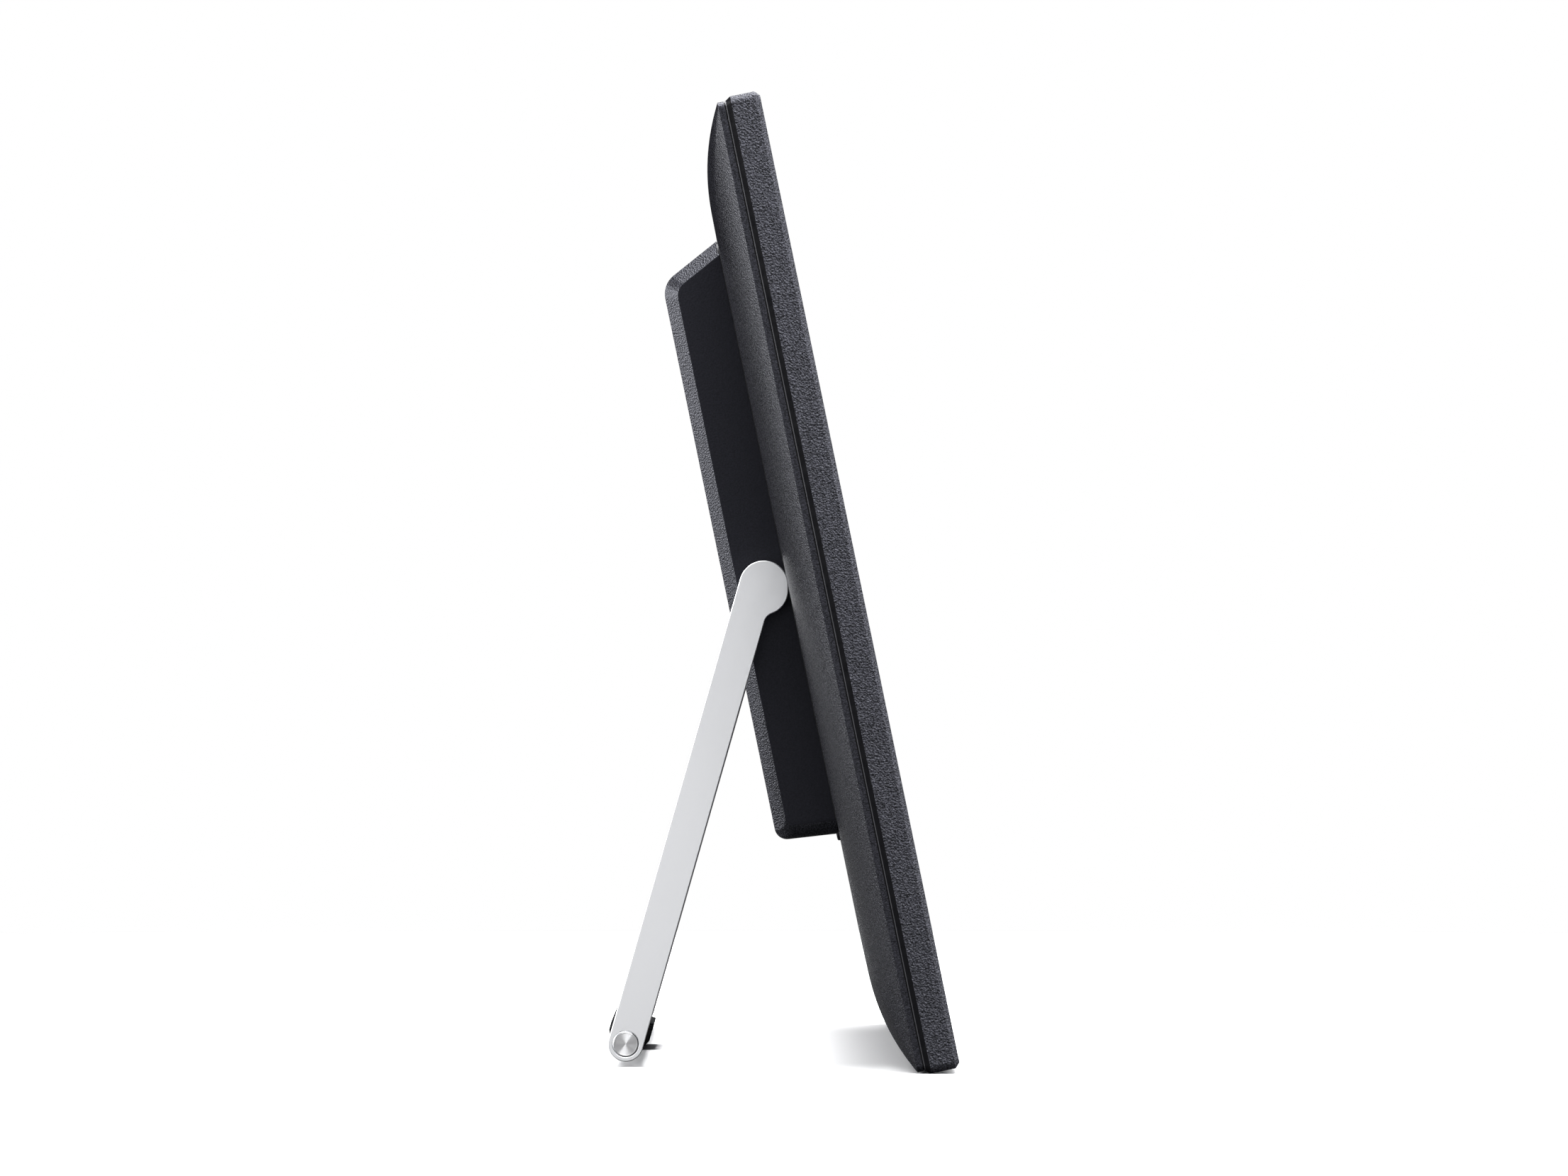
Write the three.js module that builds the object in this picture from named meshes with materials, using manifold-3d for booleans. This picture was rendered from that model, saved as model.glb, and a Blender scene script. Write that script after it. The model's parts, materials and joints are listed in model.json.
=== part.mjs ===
// A large digital photo frame: a 21.5-inch display body that leans back on a fold-out aluminium stand.
// Millimetres, +Z up, +X to the right of someone looking at the screen, which faces -Y.
// The origin is the bottom centre of the whole object's box, on the surface it stands on.
//
// The display body is drawn upright in its own axes and then leaned back:
// X across, Y back from the front face, Z up from the body's bottom edge.
// The stand is drawn in axes that hang from its hinge: Y to the rear edge of the arm, Z up along it.

import * as THREE from "three";
import { mergeVertices } from "three/addons/utils/BufferGeometryUtils.js";
import Module from "manifold-3d";

const wasm = await Module();
wasm.setup();

// ---------------------------------------------------------------- driving dimensions

const WIDTH = 530;
const HEIGHT = 330;
const MIDDLE = HEIGHT / 2;
const LEAN = THREE.MathUtils.degToRad(11.66);
const GAP = 0.3; // clearance between pieces that meet
const WALL = 2.4; // moulded plastic wall

// Depths behind the front face.
const FRONT_CHAMFER = 1.6;
const BEZEL_SIDE_END = 9.8;
const BEZEL_LIP_START = 11.5;
const BEZEL_END = 11.8;
const BEZEL_LIP_INSET = 1.1;
const COVER_START = 12.2;
const COVER_RIM = 14.3;
const COVER_BACK = 23.6;
const HUMP_BACK = 44.6;

// Display module of the 21.5-inch, 16:9 class: 476.6 x 268.1 visible.
const SCREEN = { width: 476.6, height: 268.1 };
const MODULE = { width: 495.6, height: 292.2 };
const GLASS = { width: 504.2, height: 304.2, front: 0.3, back: 2.3 };
const LEDGE = { front: GLASS.back + GAP, back: 4.2 };

// Corner radii of the body's outline, seen from the front.
const CORNER_RADIUS = 2.6;
const LIP_RADIUS = 1.9;
const COVER_RADIUS = 2.2;
const COVER_RADIUS_GROWTH = 0.8; // for each millimetre further in from the rim

// Rear cover: a shallow pillow that rises over this distance from its rim.
const COVER_INSET = 1.2;
const PILLOW_RISE = 36;
const PILLOW_POWER = 2.2;

// Electronics housing on the back.
const HUMP_HALF_WIDTH = 195;
const HUMP_CHAMFER = 4.3;
const HUMP_BOTTOM_ROUND = 5.7; // height of the rounding where the underside meets an end face
const HUMP_BASE = COVER_BACK + GAP;
const HUMP_BOTTOM = 82.6;
const HUMP_TOP = 285.8;
const HUMP_TOP_SLOPE = -0.509; // height lost for each millimetre of depth
const HUMP_BOTTOM_SLOPE = 0.0909;
const HUMP_BOTTOM_FILLET = 4.2;
const HUMP_TOP_FILLET = 8;

// Stand hinge and arms.
const HINGE = { y: 31.6, z: 169.45 };
const HEAD_RADIUS = 8.2;
const HEAD_LOBE = new THREE.Vector2(-0.5, -1.7); // the head is drawn out to a second centre
const ARM_HALF = 5.9;
const ARM_OFFSET = HEAD_RADIUS - ARM_HALF; // the rear edge runs tangent to the head
const ARM_LENGTH = 160.7; // hinge axis to foot axis, along the arm
const ARM_NECK_RADIUS = 4;
const ARM_OUTER = 202;
const ARM_INNER = 196.5;
const SHAFT_RADIUS = 4;
const BAR_RADIUS = 5;
const BAR_NECK_RADIUS = 4.05;
const BORE_CLEARANCE = 0.38;
const SHOE = {
  radius: 7.8,
  halfWidth: 7.3,
  rearTop: 6.85, // its rear wall leans in a little towards the top
  rise: 3.7,
  halfLength: 30,
  facet: THREE.MathUtils.degToRad(9.9),
};

// The body stands on two wedge pads that are flat on the surface while it leans.
const PAD_PROUD = 0.15;
const BODY_LIFT = BEZEL_SIDE_END * Math.sin(LEAN) + PAD_PROUD;

// ---------------------------------------------------------------- materials

const finish = (color, roughness, metalness = 0) =>
  new THREE.MeshStandardMaterial({ color, roughness, metalness });
const PLASTIC = finish(0x3b3d42, 0.62);
const SMOOTH_PLASTIC = finish(0x34363b, 0.5);
const GLASS_BLACK = finish(0x08090b, 0.06);
const FILM = finish(0xe8eaec, 0.5);
const ACRYLIC = finish(0xdfe6ea, 0.15);
const STEEL = finish(0x9da1a6, 0.4, 0.9);
const ALUMINIUM = finish(0xc9cbcf, 0.32, 1);
const RUBBER = finish(0x17181a, 0.9);
const BOARD = finish(0x1f5f3f, 0.55);
const FLEX = finish(0xb0722c, 0.5);
const BLACK_PART = finish(0x1b1c1e, 0.6);

// ---------------------------------------------------------------- solids

const X = new THREE.Vector3(1, 0, 0);
const Y = new THREE.Vector3(0, 1, 0);
const Z = new THREE.Vector3(0, 0, 1);
const FACE_TO_BODY = new THREE.Matrix4().makeBasis(X, Z, Y.clone().negate());
const SIDE_TO_BODY = new THREE.Matrix4().makeBasis(Y, Z, X);

// A closed geometry as a solid that can be cut and joined.
function toSolid(geometry) {
  const bare = new THREE.BufferGeometry();
  bare.setAttribute("position", geometry.getAttribute("position").clone());
  if (geometry.index) bare.setIndex(geometry.index.clone());
  const merged = mergeVertices(bare, 1e-4);
  return new wasm.Manifold(
    new wasm.Mesh({
      numProp: 3,
      vertProperties: new Float32Array(merged.getAttribute("position").array),
      triVerts: new Uint32Array(merged.index.array),
    }),
  );
}

function toGeometry(solid) {
  const { vertProperties, triVerts } = solid.getMesh();
  const geometry = new THREE.BufferGeometry();
  geometry.setAttribute("position", new THREE.BufferAttribute(new Float32Array(vertProperties), 3));
  geometry.setIndex(new THREE.BufferAttribute(new Uint32Array(triVerts), 1));
  geometry.computeVertexNormals();
  return geometry;
}

const join = (first, ...others) => others.reduce((whole, other) => whole.add(other), first);
const cut = (first, ...others) => others.reduce((whole, other) => whole.subtract(other), first);

const extrusion = (outline, depth) => {
  const shape = outline instanceof THREE.Shape ? outline : new THREE.Shape(outline);
  return new THREE.ExtrudeGeometry(shape, { depth, bevelEnabled: false, curveSegments: 6 });
};

// An outline in X and Z, made solid from one depth to another.
function slab(outline, front, back) {
  const geometry = extrusion(outline, back - front).applyMatrix4(FACE_TO_BODY);
  return toSolid(geometry.translate(0, back, 0));
}

// An outline in Y and Z, made solid from one X to another.
function bar(outline, left, right) {
  const geometry = extrusion(outline, right - left).applyMatrix4(SIDE_TO_BODY);
  return toSolid(geometry.translate(left, 0, 0));
}

function box([x0, x1], [y0, y1], [z0, z1]) {
  const geometry = new THREE.BoxGeometry(x1 - x0, y1 - y0, z1 - z0);
  return toSolid(geometry.translate((x0 + x1) / 2, (y0 + y1) / 2, (z0 + z1) / 2));
}

// A rounded rectangle, anticlockwise, with the same number of points whatever its size.
function roundedRect(width, height, radius, [x, z] = [0, MIDDLE], steps = 3) {
  const signs = [[1, 1], [-1, 1], [-1, -1], [1, -1]];
  return signs.flatMap(([sx, sz], corner) =>
    Array.from({ length: steps + 1 }, (_, step) => {
      const angle = ((corner + step / steps) * Math.PI) / 2;
      return new THREE.Vector2(
        x + sx * (width / 2 - radius) + radius * Math.cos(angle),
        z + sz * (height / 2 - radius) + radius * Math.sin(angle),
      );
    }),
  );
}

function circle(radius, [a, b] = [0, 0], sides = 24) {
  return Array.from({ length: sides }, (_, side) => {
    const angle = ((side + 0.5) / sides) * 2 * Math.PI;
    return new THREE.Vector2(a + radius * Math.cos(angle), b + radius * Math.sin(angle));
  });
}

const rod = (radius, left, right, centre, sides) => bar(circle(radius, centre, sides), left, right);
const peg = (radius, front, back, centre, sides) =>
  slab(circle(radius, centre, sides), front, back);

// A solid through a stack of convex rings of equal length, closed by a flat face at each end.
function loft(rings) {
  const size = rings[0].length;
  const positions = rings.flat().flatMap((point) => point.toArray());
  const faces = [];
  for (let ring = 0; ring + 1 < rings.length; ring++) {
    for (let i = 0; i < size; i++) {
      const a = ring * size + i;
      const b = ring * size + ((i + 1) % size);
      faces.push(a, a + size, b, b, a + size, b + size);
    }
  }
  const last = (rings.length - 1) * size;
  for (let i = 1; i + 1 < size; i++) {
    faces.push(0, i, i + 1);
    faces.push(last, last + i + 1, last + i);
  }
  const geometry = new THREE.BufferGeometry();
  geometry.setAttribute("position", new THREE.Float32BufferAttribute(positions, 3));
  geometry.setIndex(faces);
  return toSolid(geometry);
}

// The points of a corner rounded to a radius.
function filletPoints(before, corner, after, radius, steps = 4) {
  if (!radius) return [corner];
  const toBefore = before.clone().sub(corner).normalize();
  const toAfter = after.clone().sub(corner).normalize();
  const half = Math.acos(toBefore.dot(toAfter)) / 2;
  const bisector = toBefore.clone().add(toAfter).normalize();
  const centre = corner.clone().addScaledVector(bisector, radius / Math.sin(half));
  const start = corner.clone().addScaledVector(toBefore, radius / Math.tan(half)).sub(centre);
  const end = corner.clone().addScaledVector(toAfter, radius / Math.tan(half)).sub(centre);
  const turn = Math.atan2(start.cross(end), start.dot(end));
  return Array.from({ length: steps + 1 }, (_, step) =>
    start.clone().rotateAround(new THREE.Vector2(), (turn * step) / steps).add(centre),
  );
}

function filletedPolygon(corners) {
  const points = corners.map(([a, b]) => new THREE.Vector2(a, b));
  return points.flatMap((point, i) =>
    filletPoints(points.at(i - 1), point, points[(i + 1) % points.length], corners[i][2]),
  );
}

const frameRing = (inset, depth, radius) =>
  roundedRect(WIDTH - 2 * inset, HEIGHT - 2 * inset, radius).map(
    (point) => new THREE.Vector3(point.x, depth, point.y),
  );

// The two ends of a stretch of X on one side, lower first.
const orderedPair = (side, near, far) => (side < 0 ? [-far, -near] : [near, far]);

// Makes the named mesh of one piece.
function piece(group, name, solid, material) {
  const mesh = new THREE.Mesh(toGeometry(solid), material);
  mesh.name = name;
  group.add(mesh);
  return mesh;
}

const body = new THREE.Group();
body.rotation.x = -LEAN;
body.position.z = BODY_LIFT;

const SIDES = [["left", -1], ["right", 1]];

// ---------------------------------------------------------------- front bezel and pads

const BEZEL = { wall: 2.5, glassMargin: 0.4 };
const PAD = { inner: 150, outer: 190, front: 2.8, back: 9.2, seat: 1.2 };

function bezelSolid() {
  const outer = loft([
    frameRing(FRONT_CHAMFER, 0, 1.6),
    frameRing(0, FRONT_CHAMFER, CORNER_RADIUS),
    frameRing(0, BEZEL_SIDE_END, CORNER_RADIUS),
    frameRing(BEZEL_LIP_INSET, BEZEL_LIP_START, LIP_RADIUS),
    frameRing(BEZEL_LIP_INSET, BEZEL_END, LIP_RADIUS),
  ]);
  const glassSeat = roundedRect(
    GLASS.width + 2 * BEZEL.glassMargin,
    GLASS.height + 2 * BEZEL.glassMargin,
    LIP_RADIUS,
  );
  const window = roundedRect(SCREEN.width + 5.4, SCREEN.height + 5.9, 1);
  const inside = roundedRect(WIDTH - 2 * BEZEL.wall, HEIGHT - 2 * BEZEL.wall, 1.5);
  const padSeats = SIDES.map(([, side]) =>
    box(
      orderedPair(side, PAD.inner - GAP, PAD.outer + GAP),
      [PAD.front - GAP, PAD.back + GAP],
      [-1, PAD.seat],
    ),
  );
  return cut(
    outer,
    slab(glassSeat, -1, LEDGE.front),
    slab(window, -1, BEZEL_END + 1),
    slab(inside, LEDGE.back, BEZEL_END + 1),
    ...padSeats,
  );
}

// A pad's underside lies level on the surface while the body leans.
function padSolid(side) {
  const underside = (y) => (y * Math.sin(LEAN) - BODY_LIFT) / Math.cos(LEAN);
  const top = PAD.seat - GAP;
  const outline = [
    new THREE.Vector2(PAD.front, top),
    new THREE.Vector2(PAD.front, underside(PAD.front)),
    new THREE.Vector2(PAD.back, underside(PAD.back)),
    new THREE.Vector2(PAD.back, top),
  ];
  return bar(outline, ...orderedPair(side, PAD.inner, PAD.outer));
}

piece(body, "front_bezel", bezelSolid(), PLASTIC);
for (const [name, side] of SIDES) piece(body, `foot_pad_${name}`, padSolid(side), RUBBER);

// ---------------------------------------------------------------- glass and display module

const TRAY = { front: 5.4, floor: 11.5, back: 12.3, wall: 1.2 };
const CELL = { width: 492, height: 288.6, front: 5.4, back: 6.7 };
const SHEETS = { front: 7, back: 7.9 };
const LIGHT_GUIDE = { front: 8.2, back: 11.2, rise: 2 };
const LED_STRIP = { length: 480, thickness: 1.4, bottom: 20.5 };

function moduleSolids() {
  const frameOf = (outer, inner, front, back) =>
    cut(slab(outer, front, back), slab(inner, front - 1, back + 1));
  const trayInside = roundedRect(MODULE.width - 2 * TRAY.wall, MODULE.height - 2 * TRAY.wall, 1);
  const guideCentre = [0, MIDDLE + LIGHT_GUIDE.rise / 2];
  return {
    front_glass: [
      slab(roundedRect(GLASS.width, GLASS.height, 1.5), GLASS.front, GLASS.back),
      GLASS_BLACK,
    ],
    display_gasket: [
      frameOf(roundedRect(493, 284, 2), roundedRect(SCREEN.width + 3, SCREEN.height + 3, 1), 4.5, 5.1),
      RUBBER,
    ],
    lcd_cell: [slab(roundedRect(CELL.width, CELL.height, 1), CELL.front, CELL.back), GLASS_BLACK],
    diffuser_sheets: [
      slab(roundedRect(CELL.width - 2, CELL.height - 2, 1), SHEETS.front, SHEETS.back),
      FILM,
    ],
    light_guide: [
      slab(
        roundedRect(CELL.width - 2, CELL.height - 2 - LIGHT_GUIDE.rise, 1, guideCentre),
        LIGHT_GUIDE.front,
        LIGHT_GUIDE.back,
      ),
      ACRYLIC,
    ],
    led_strip: [
      box(
        [-LED_STRIP.length / 2, LED_STRIP.length / 2],
        [LIGHT_GUIDE.front, LIGHT_GUIDE.back],
        [LED_STRIP.bottom, LED_STRIP.bottom + LED_STRIP.thickness],
      ),
      FILM,
    ],
    backlight_tray: [
      cut(
        slab(roundedRect(MODULE.width, MODULE.height, 1.6), TRAY.front, TRAY.back),
        slab(trayInside, TRAY.front - 1, TRAY.floor),
      ),
      STEEL,
    ],
  };
}

for (const [name, [solid, material]] of Object.entries(moduleSolids())) {
  piece(body, name, solid, material);
}

// ---------------------------------------------------------------- rear cover

const BUTTON_X = 213;
const BUTTONS = [
  { name: "power_button", z: 150, radius: 4.4, length: 0 },
  { name: "menu_button", z: 130, radius: 3.4, length: 6 },
  { name: "up_button", z: 113, radius: 3.4, length: 6 },
  { name: "down_button", z: 96, radius: 3.4, length: 6 },
  { name: "back_button", z: 79, radius: 3.4, length: 6 },
];
const BUTTON_PROUD = 1;
const BUTTON_CLEARANCE = 0.4;

const pillowDepth = (distance) =>
  COVER_RIM + (COVER_BACK - COVER_RIM) * (1 - (1 - distance / PILLOW_RISE) ** PILLOW_POWER);

const buttonOutline = ({ z, radius, length }, margin) =>
  roundedRect(2 * (radius + margin), 2 * (radius + margin) + length, radius + margin - 0.01, [BUTTON_X, z]);

// Shallow hollows in the cover that the arms' heads turn in.
const HEAD_RELIEF = { x: 199.3, z: 166, width: 8, height: 25, floor: 22.4 };

function rearCoverSolid() {
  const distances = [0, 0.8, 2, 4, 7, 11, 16, 22, 29, PILLOW_RISE];
  const shell = (wall) => [
    frameRing(COVER_INSET + wall, wall ? COVER_START - 1 : COVER_START, COVER_RADIUS),
    ...distances.map((distance) =>
      frameRing(
        COVER_INSET + distance + wall,
        pillowDepth(distance) - wall,
        COVER_RADIUS + COVER_RADIUS_GROWTH * distance,
      ),
    ),
  ];
  const tongue = cut(
    slab(roundedRect(WIDTH - 6, HEIGHT - 6, 1.5), 9, COVER_RIM - 0.5),
    slab(roundedRect(WIDTH - 9.4, HEIGHT - 9.4, 1.5), 8, COVER_RIM),
  );
  const hollow = loft(shell(WALL));
  const boardOpening = roundedRect(380, 180, 6, [0, 182]);
  const buttonHoles = BUTTONS.map((button) =>
    slab(buttonOutline(button, BUTTON_CLEARANCE), COVER_RIM, COVER_BACK + 1),
  );
  const headReliefs = SIDES.map(([, side]) =>
    slab(
      roundedRect(HEAD_RELIEF.width, HEAD_RELIEF.height, 2, [side * HEAD_RELIEF.x, HEAD_RELIEF.z]),
      HEAD_RELIEF.floor,
      COVER_BACK + 1,
    ),
  );
  return cut(
    join(cut(loft(shell(0)), hollow), tongue),
    slab(boardOpening, COVER_RIM, COVER_BACK + 1),
    ...buttonHoles,
    ...headReliefs,
  );
}

piece(body, "rear_cover", rearCoverSolid(), PLASTIC);

// ---------------------------------------------------------------- electronics housing

const PORT_Y = 31.2; // depth of the middle of the sockets
const PORTS = [
  { name: "dc_jack", x: -70, body: [10, 10.4, 13], mouth: [6.4, 6.4], depth: 10, round: true },
  { name: "usb_port_a", x: -45, body: [15.6, 7.4, 15], mouth: [12.5, 5.12], depth: 12 },
  { name: "usb_port_b", x: -22, body: [15.6, 7.4, 15], mouth: [12.5, 5.12], depth: 12 },
  { name: "audio_jack", x: 0, body: [7, 7, 12], mouth: [3.7, 3.7], depth: 10, round: true },
  { name: "card_slot", x: 30, body: [29, 5.2, 28], mouth: [25, 2.8], depth: 24 },
];
const PORT_FACE = 86.6;
const PORT_CUT_MARGIN = 0.8;
const HUMP_SCREWS = [[-175, 105], [175, 105], [-175, 250], [175, 250]];
const WALL_MOUNT_SPACING = 100;
const SPEAKER_X = 140;
const VENTS = { count: 31, pitch: 9, width: 3.2, depths: [28, 36.5], heights: [262, 292] };
const GRILLE = { count: 8, pitch: 5, width: 2.2, depths: [28, 38], heights: [80, 88.5] };

// Side profile of the housing: the face between the chamfers, or the smaller end face.
function humpProfile(inset, bottomInset = inset) {
  const back = HUMP_BACK - inset;
  const top = (y) => HUMP_TOP - 1.12 * inset + HUMP_TOP_SLOPE * (y - HUMP_BASE);
  const bottom = (y) => HUMP_BOTTOM + bottomInset + HUMP_BOTTOM_SLOPE * (y - HUMP_BASE);
  return filletedPolygon([
    [HUMP_BASE, bottom(HUMP_BASE), 0],
    [back, bottom(back), HUMP_BOTTOM_FILLET - inset * 0.3],
    [back, top(back), HUMP_TOP_FILLET - inset * 0.6],
    [HUMP_BASE, top(HUMP_BASE), 0],
  ]);
}

function humpBlock(wall) {
  const stations = [
    [HUMP_HALF_WIDTH - wall, humpProfile(HUMP_CHAMFER + wall, HUMP_BOTTOM_ROUND + wall)],
    [HUMP_HALF_WIDTH - HUMP_CHAMFER - wall, humpProfile(wall)],
  ];
  const rings = [...stations, ...stations.map(([x, profile]) => [-x, profile]).reverse()];
  return loft(rings.map(([x, profile]) => profile.map((point) => new THREE.Vector3(x, point.x, point.y))));
}

const portMouth = ({ x, mouth, round }, margin) =>
  round
    ? circle(mouth[0] / 2 + margin, [x, PORT_Y], 20)
    : roundedRect(mouth[0] + 2 * margin, mouth[1] + 2 * margin, 0.6, [x, PORT_Y], 1);

// An outline in X and Y, made solid from one height to another.
function column(outline, bottom, top) {
  return toSolid(extrusion(outline, top - bottom).translate(0, 0, bottom));
}

// A row of slots across the housing, centred on an X.
function slotRow({ count, pitch, width, depths, heights }, centre) {
  return Array.from({ length: count }, (_, slot) => {
    const x = centre + (slot - (count - 1) / 2) * pitch;
    return box([x - width / 2, x + width / 2], depths, heights);
  });
}

const MOUNT_CORNERS = [-1, 1].flatMap((side) =>
  [-1, 1].map((level) => [
    (side * WALL_MOUNT_SPACING) / 2,
    MIDDLE + (level * WALL_MOUNT_SPACING) / 2,
  ]),
);

function electronicsCoverSolid() {
  const screwPosts = HUMP_SCREWS.map((at) => peg(3.8, HUMP_BASE + GAP, HUMP_BACK - 1, at, 16));
  const screwHoles = HUMP_SCREWS.flatMap((at) => [
    peg(1.9, HUMP_BASE - 1, HUMP_BACK + 1, at, 12),
    peg(3.6, HUMP_BACK - 1.3, HUMP_BACK + 1, at, 20),
  ]);
  const mountHoles = MOUNT_CORNERS.map((at) => peg(2.6, HUMP_BACK - 4, HUMP_BACK + 1, at, 16));
  const grilles = SIDES.flatMap(([, side]) => slotRow(GRILLE, side * SPEAKER_X));
  const portHoles = PORTS.map((port) => column(portMouth(port, PORT_CUT_MARGIN), 80, 90));
  const hingeHole = rod(7, -HUMP_HALF_WIDTH - 1, HUMP_HALF_WIDTH + 1, [HINGE.y, HINGE.z]);
  const hollow = join(
    humpBlock(WALL),
    box([-188, 188], [HUMP_BASE - 1, HUMP_BASE + 1], [89, 277]),
  );
  return cut(
    join(cut(humpBlock(0), hollow), ...screwPosts),
    ...screwHoles,
    ...mountHoles,
    ...slotRow(VENTS, 0),
    ...grilles,
    ...portHoles,
    hingeHole,
  );
}

piece(body, "electronics_cover", electronicsCoverSolid(), SMOOTH_PLASTIC);

// ---------------------------------------------------------------- chassis and wall-mount plate

const CHASSIS = { front: 12.6, back: 13.8 };
const BOARD_FRONT = 25.5;
const BOARD_BACK = 27.1;
const BOARD_POSTS = [[-88, 112], [78, 112], [-88, 200], [78, 200], [102, 132], [158, 208]];

function chassisSolid() {
  const plate = slab(roundedRect(400, 202, 5, [0, 161]), CHASSIS.front, CHASSIS.back);
  const boardPosts = BOARD_POSTS.map((at) => peg(2.6, CHASSIS.front, BOARD_FRONT - GAP, at, 10));
  const screwPosts = HUMP_SCREWS.map((at) => peg(3.6, CHASSIS.front, HUMP_BASE, at, 12));
  const screwHoles = HUMP_SCREWS.map((at) => peg(1.9, CHASSIS.front - 1, HUMP_BASE + 1, at, 12));
  return cut(join(plate, ...boardPosts, ...screwPosts), ...screwHoles);
}

function wallMountPlateSolid() {
  const back = HUMP_BACK - WALL - GAP;
  const plate = slab(roundedRect(124, 124, 6), back - 1.6, back);
  const nuts = MOUNT_CORNERS.map((at) => peg(4, back - 5, back, at, 6));
  const threads = MOUNT_CORNERS.map((at) => peg(2, back - 6, back + 1, at, 12));
  return cut(join(plate, ...nuts), ...threads);
}

function screwSolid(at) {
  const head = peg(3.2, HUMP_BACK - 1, HUMP_BACK - 0.1, at, 20);
  const shank = peg(1.5, 16, HUMP_BACK - 0.5, at, 10);
  const [x, z] = at;
  const slot = (width, height) =>
    box([x - width / 2, x + width / 2], [HUMP_BACK - 0.7, HUMP_BACK + 1], [z - height / 2, z + height / 2]);
  return cut(join(head, shank), slot(3.4, 0.8), slot(0.8, 3.4));
}

piece(body, "chassis_plate", chassisSolid(), STEEL);
piece(body, "wall_mount_plate", wallMountPlateSolid(), STEEL);
HUMP_SCREWS.forEach((at, index) => piece(body, `cover_screw_${index + 1}`, screwSolid(at), STEEL));

// ---------------------------------------------------------------- boards, sockets and leads

function mainBoardSolid() {
  const board = box([-95, 85], [BOARD_FRONT, BOARD_BACK], [88, 212]);
  const onBoard = (x, z, width, height, rise) =>
    box(
      [x - width / 2, x + width / 2],
      [BOARD_BACK - 0.2, BOARD_BACK + rise],
      [z - height / 2, z + height / 2],
    );
  return join(
    board,
    onBoard(-20, 160, 24, 24, 1.6),
    onBoard(12, 150, 12, 9, 1.2),
    onBoard(12, 170, 12, 9, 1.2),
    onBoard(-60, 150, 12, 12, 5),
    onBoard(-60, 178, 10, 10, 4),
    onBoard(50, 150, 18, 14, 1.4),
    onBoard(-91, 115, 8, 6, 4),
    onBoard(81, 115, 8, 6, 4),
    box([-18, 14], [BOARD_FRONT - 1.6, BOARD_FRONT + 0.2], [202, 210]),
  );
}

function heatSinkSolid() {
  const base = box([-36, -4], [BOARD_BACK + 1.9, BOARD_BACK + 3.4], [144, 176]);
  const fins = Array.from({ length: 7 }, (_, fin) => {
    const x = -35.4 + fin * 5;
    return box([x, x + 1.2], [BOARD_BACK + 3.2, BOARD_BACK + 9], [144, 176]);
  });
  return join(base, ...fins);
}

function powerBoardSolid() {
  const board = box([95, 165], [BOARD_FRONT, BOARD_BACK], [125, 215]);
  const coil = peg(8, BOARD_BACK - 0.2, BOARD_BACK + 9, [118, 150], 12);
  const capacitors = [142, 156].map((x) => peg(5, BOARD_BACK - 0.2, BOARD_BACK + 11, [x, 150], 12));
  const transformer = box([108, 134], [BOARD_BACK - 0.2, BOARD_BACK + 10], [176, 200]);
  return join(board, coil, ...capacitors, transformer);
}

function portSolid(port) {
  const [width, depth, height] = port.body;
  const block = box(
    [port.x - width / 2, port.x + width / 2],
    [Math.max(PORT_Y - depth / 2, BOARD_BACK + GAP), PORT_Y + depth / 2],
    [PORT_FACE, PORT_FACE + height],
  );
  return cut(block, column(portMouth(port, 0), PORT_FACE - 1, PORT_FACE + port.depth));
}

function speakerSolid(side) {
  const x = side * SPEAKER_X;
  const cabinet = box([x - 28, x + 28], [26, 40], [91, 118]);
  const cone = column(circle(6.4, [x, 33], 20), 89.4, 92);
  return join(cabinet, cone);
}

// A thin flat cable: its side profile follows the points.
function displayFlexSolid() {
  const route = [[12.9, 296], [15.6, 290], [15.6, 266], [23.2, 246], [23.2, 211]];
  const thickness = 0.4;
  const front = route.map(([y, z]) => new THREE.Vector2(y, z));
  const back = route.map(([y, z]) => new THREE.Vector2(y + thickness, z + thickness)).reverse();
  return bar([...front, ...back], -15, 11);
}

function leadSolid(side) {
  const start = side < 0 ? -95 - GAP : 85 + GAP;
  const end = side * (SPEAKER_X - 28 - GAP);
  const across = (share) => start + (end - start) * share;
  const route = new THREE.CatmullRomCurve3([
    new THREE.Vector3(start, 29.2, 115),
    new THREE.Vector3(across(0.3), 30, 114),
    new THREE.Vector3(across(0.6), 32, 106),
    new THREE.Vector3(end, 33, 104),
  ]);
  const section = new THREE.Shape(circle(0.9, [0, 0], 8));
  return toSolid(
    new THREE.ExtrudeGeometry(section, { extrudePath: route, steps: 12, bevelEnabled: false }),
  );
}

piece(body, "main_board", mainBoardSolid(), BOARD);
piece(body, "heat_sink", heatSinkSolid(), ALUMINIUM);
piece(body, "power_board", powerBoardSolid(), BOARD);
piece(body, "wifi_module", box([40, 66], [BOARD_BACK + GAP, BOARD_BACK + 2.6], [180, 196]), BOARD);
piece(body, "wifi_antenna", box([-120, -78], [17.6, 18.4], [290, 299]), FLEX);
piece(body, "display_flex", displayFlexSolid(), FLEX);
for (const port of PORTS) piece(body, port.name, portSolid(port), BLACK_PART);
for (const [name, side] of SIDES) {
  piece(body, `speaker_${name}`, speakerSolid(side), BLACK_PART);
  piece(body, `speaker_lead_${name}`, leadSolid(side), RUBBER);
}

// ---------------------------------------------------------------- buttons

const BUTTON_FLANGE = { front: 18.9, back: 20.6 };
const BUTTON_BOARD = { front: 15, back: 16.4, switchTop: 17.8 };

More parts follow.
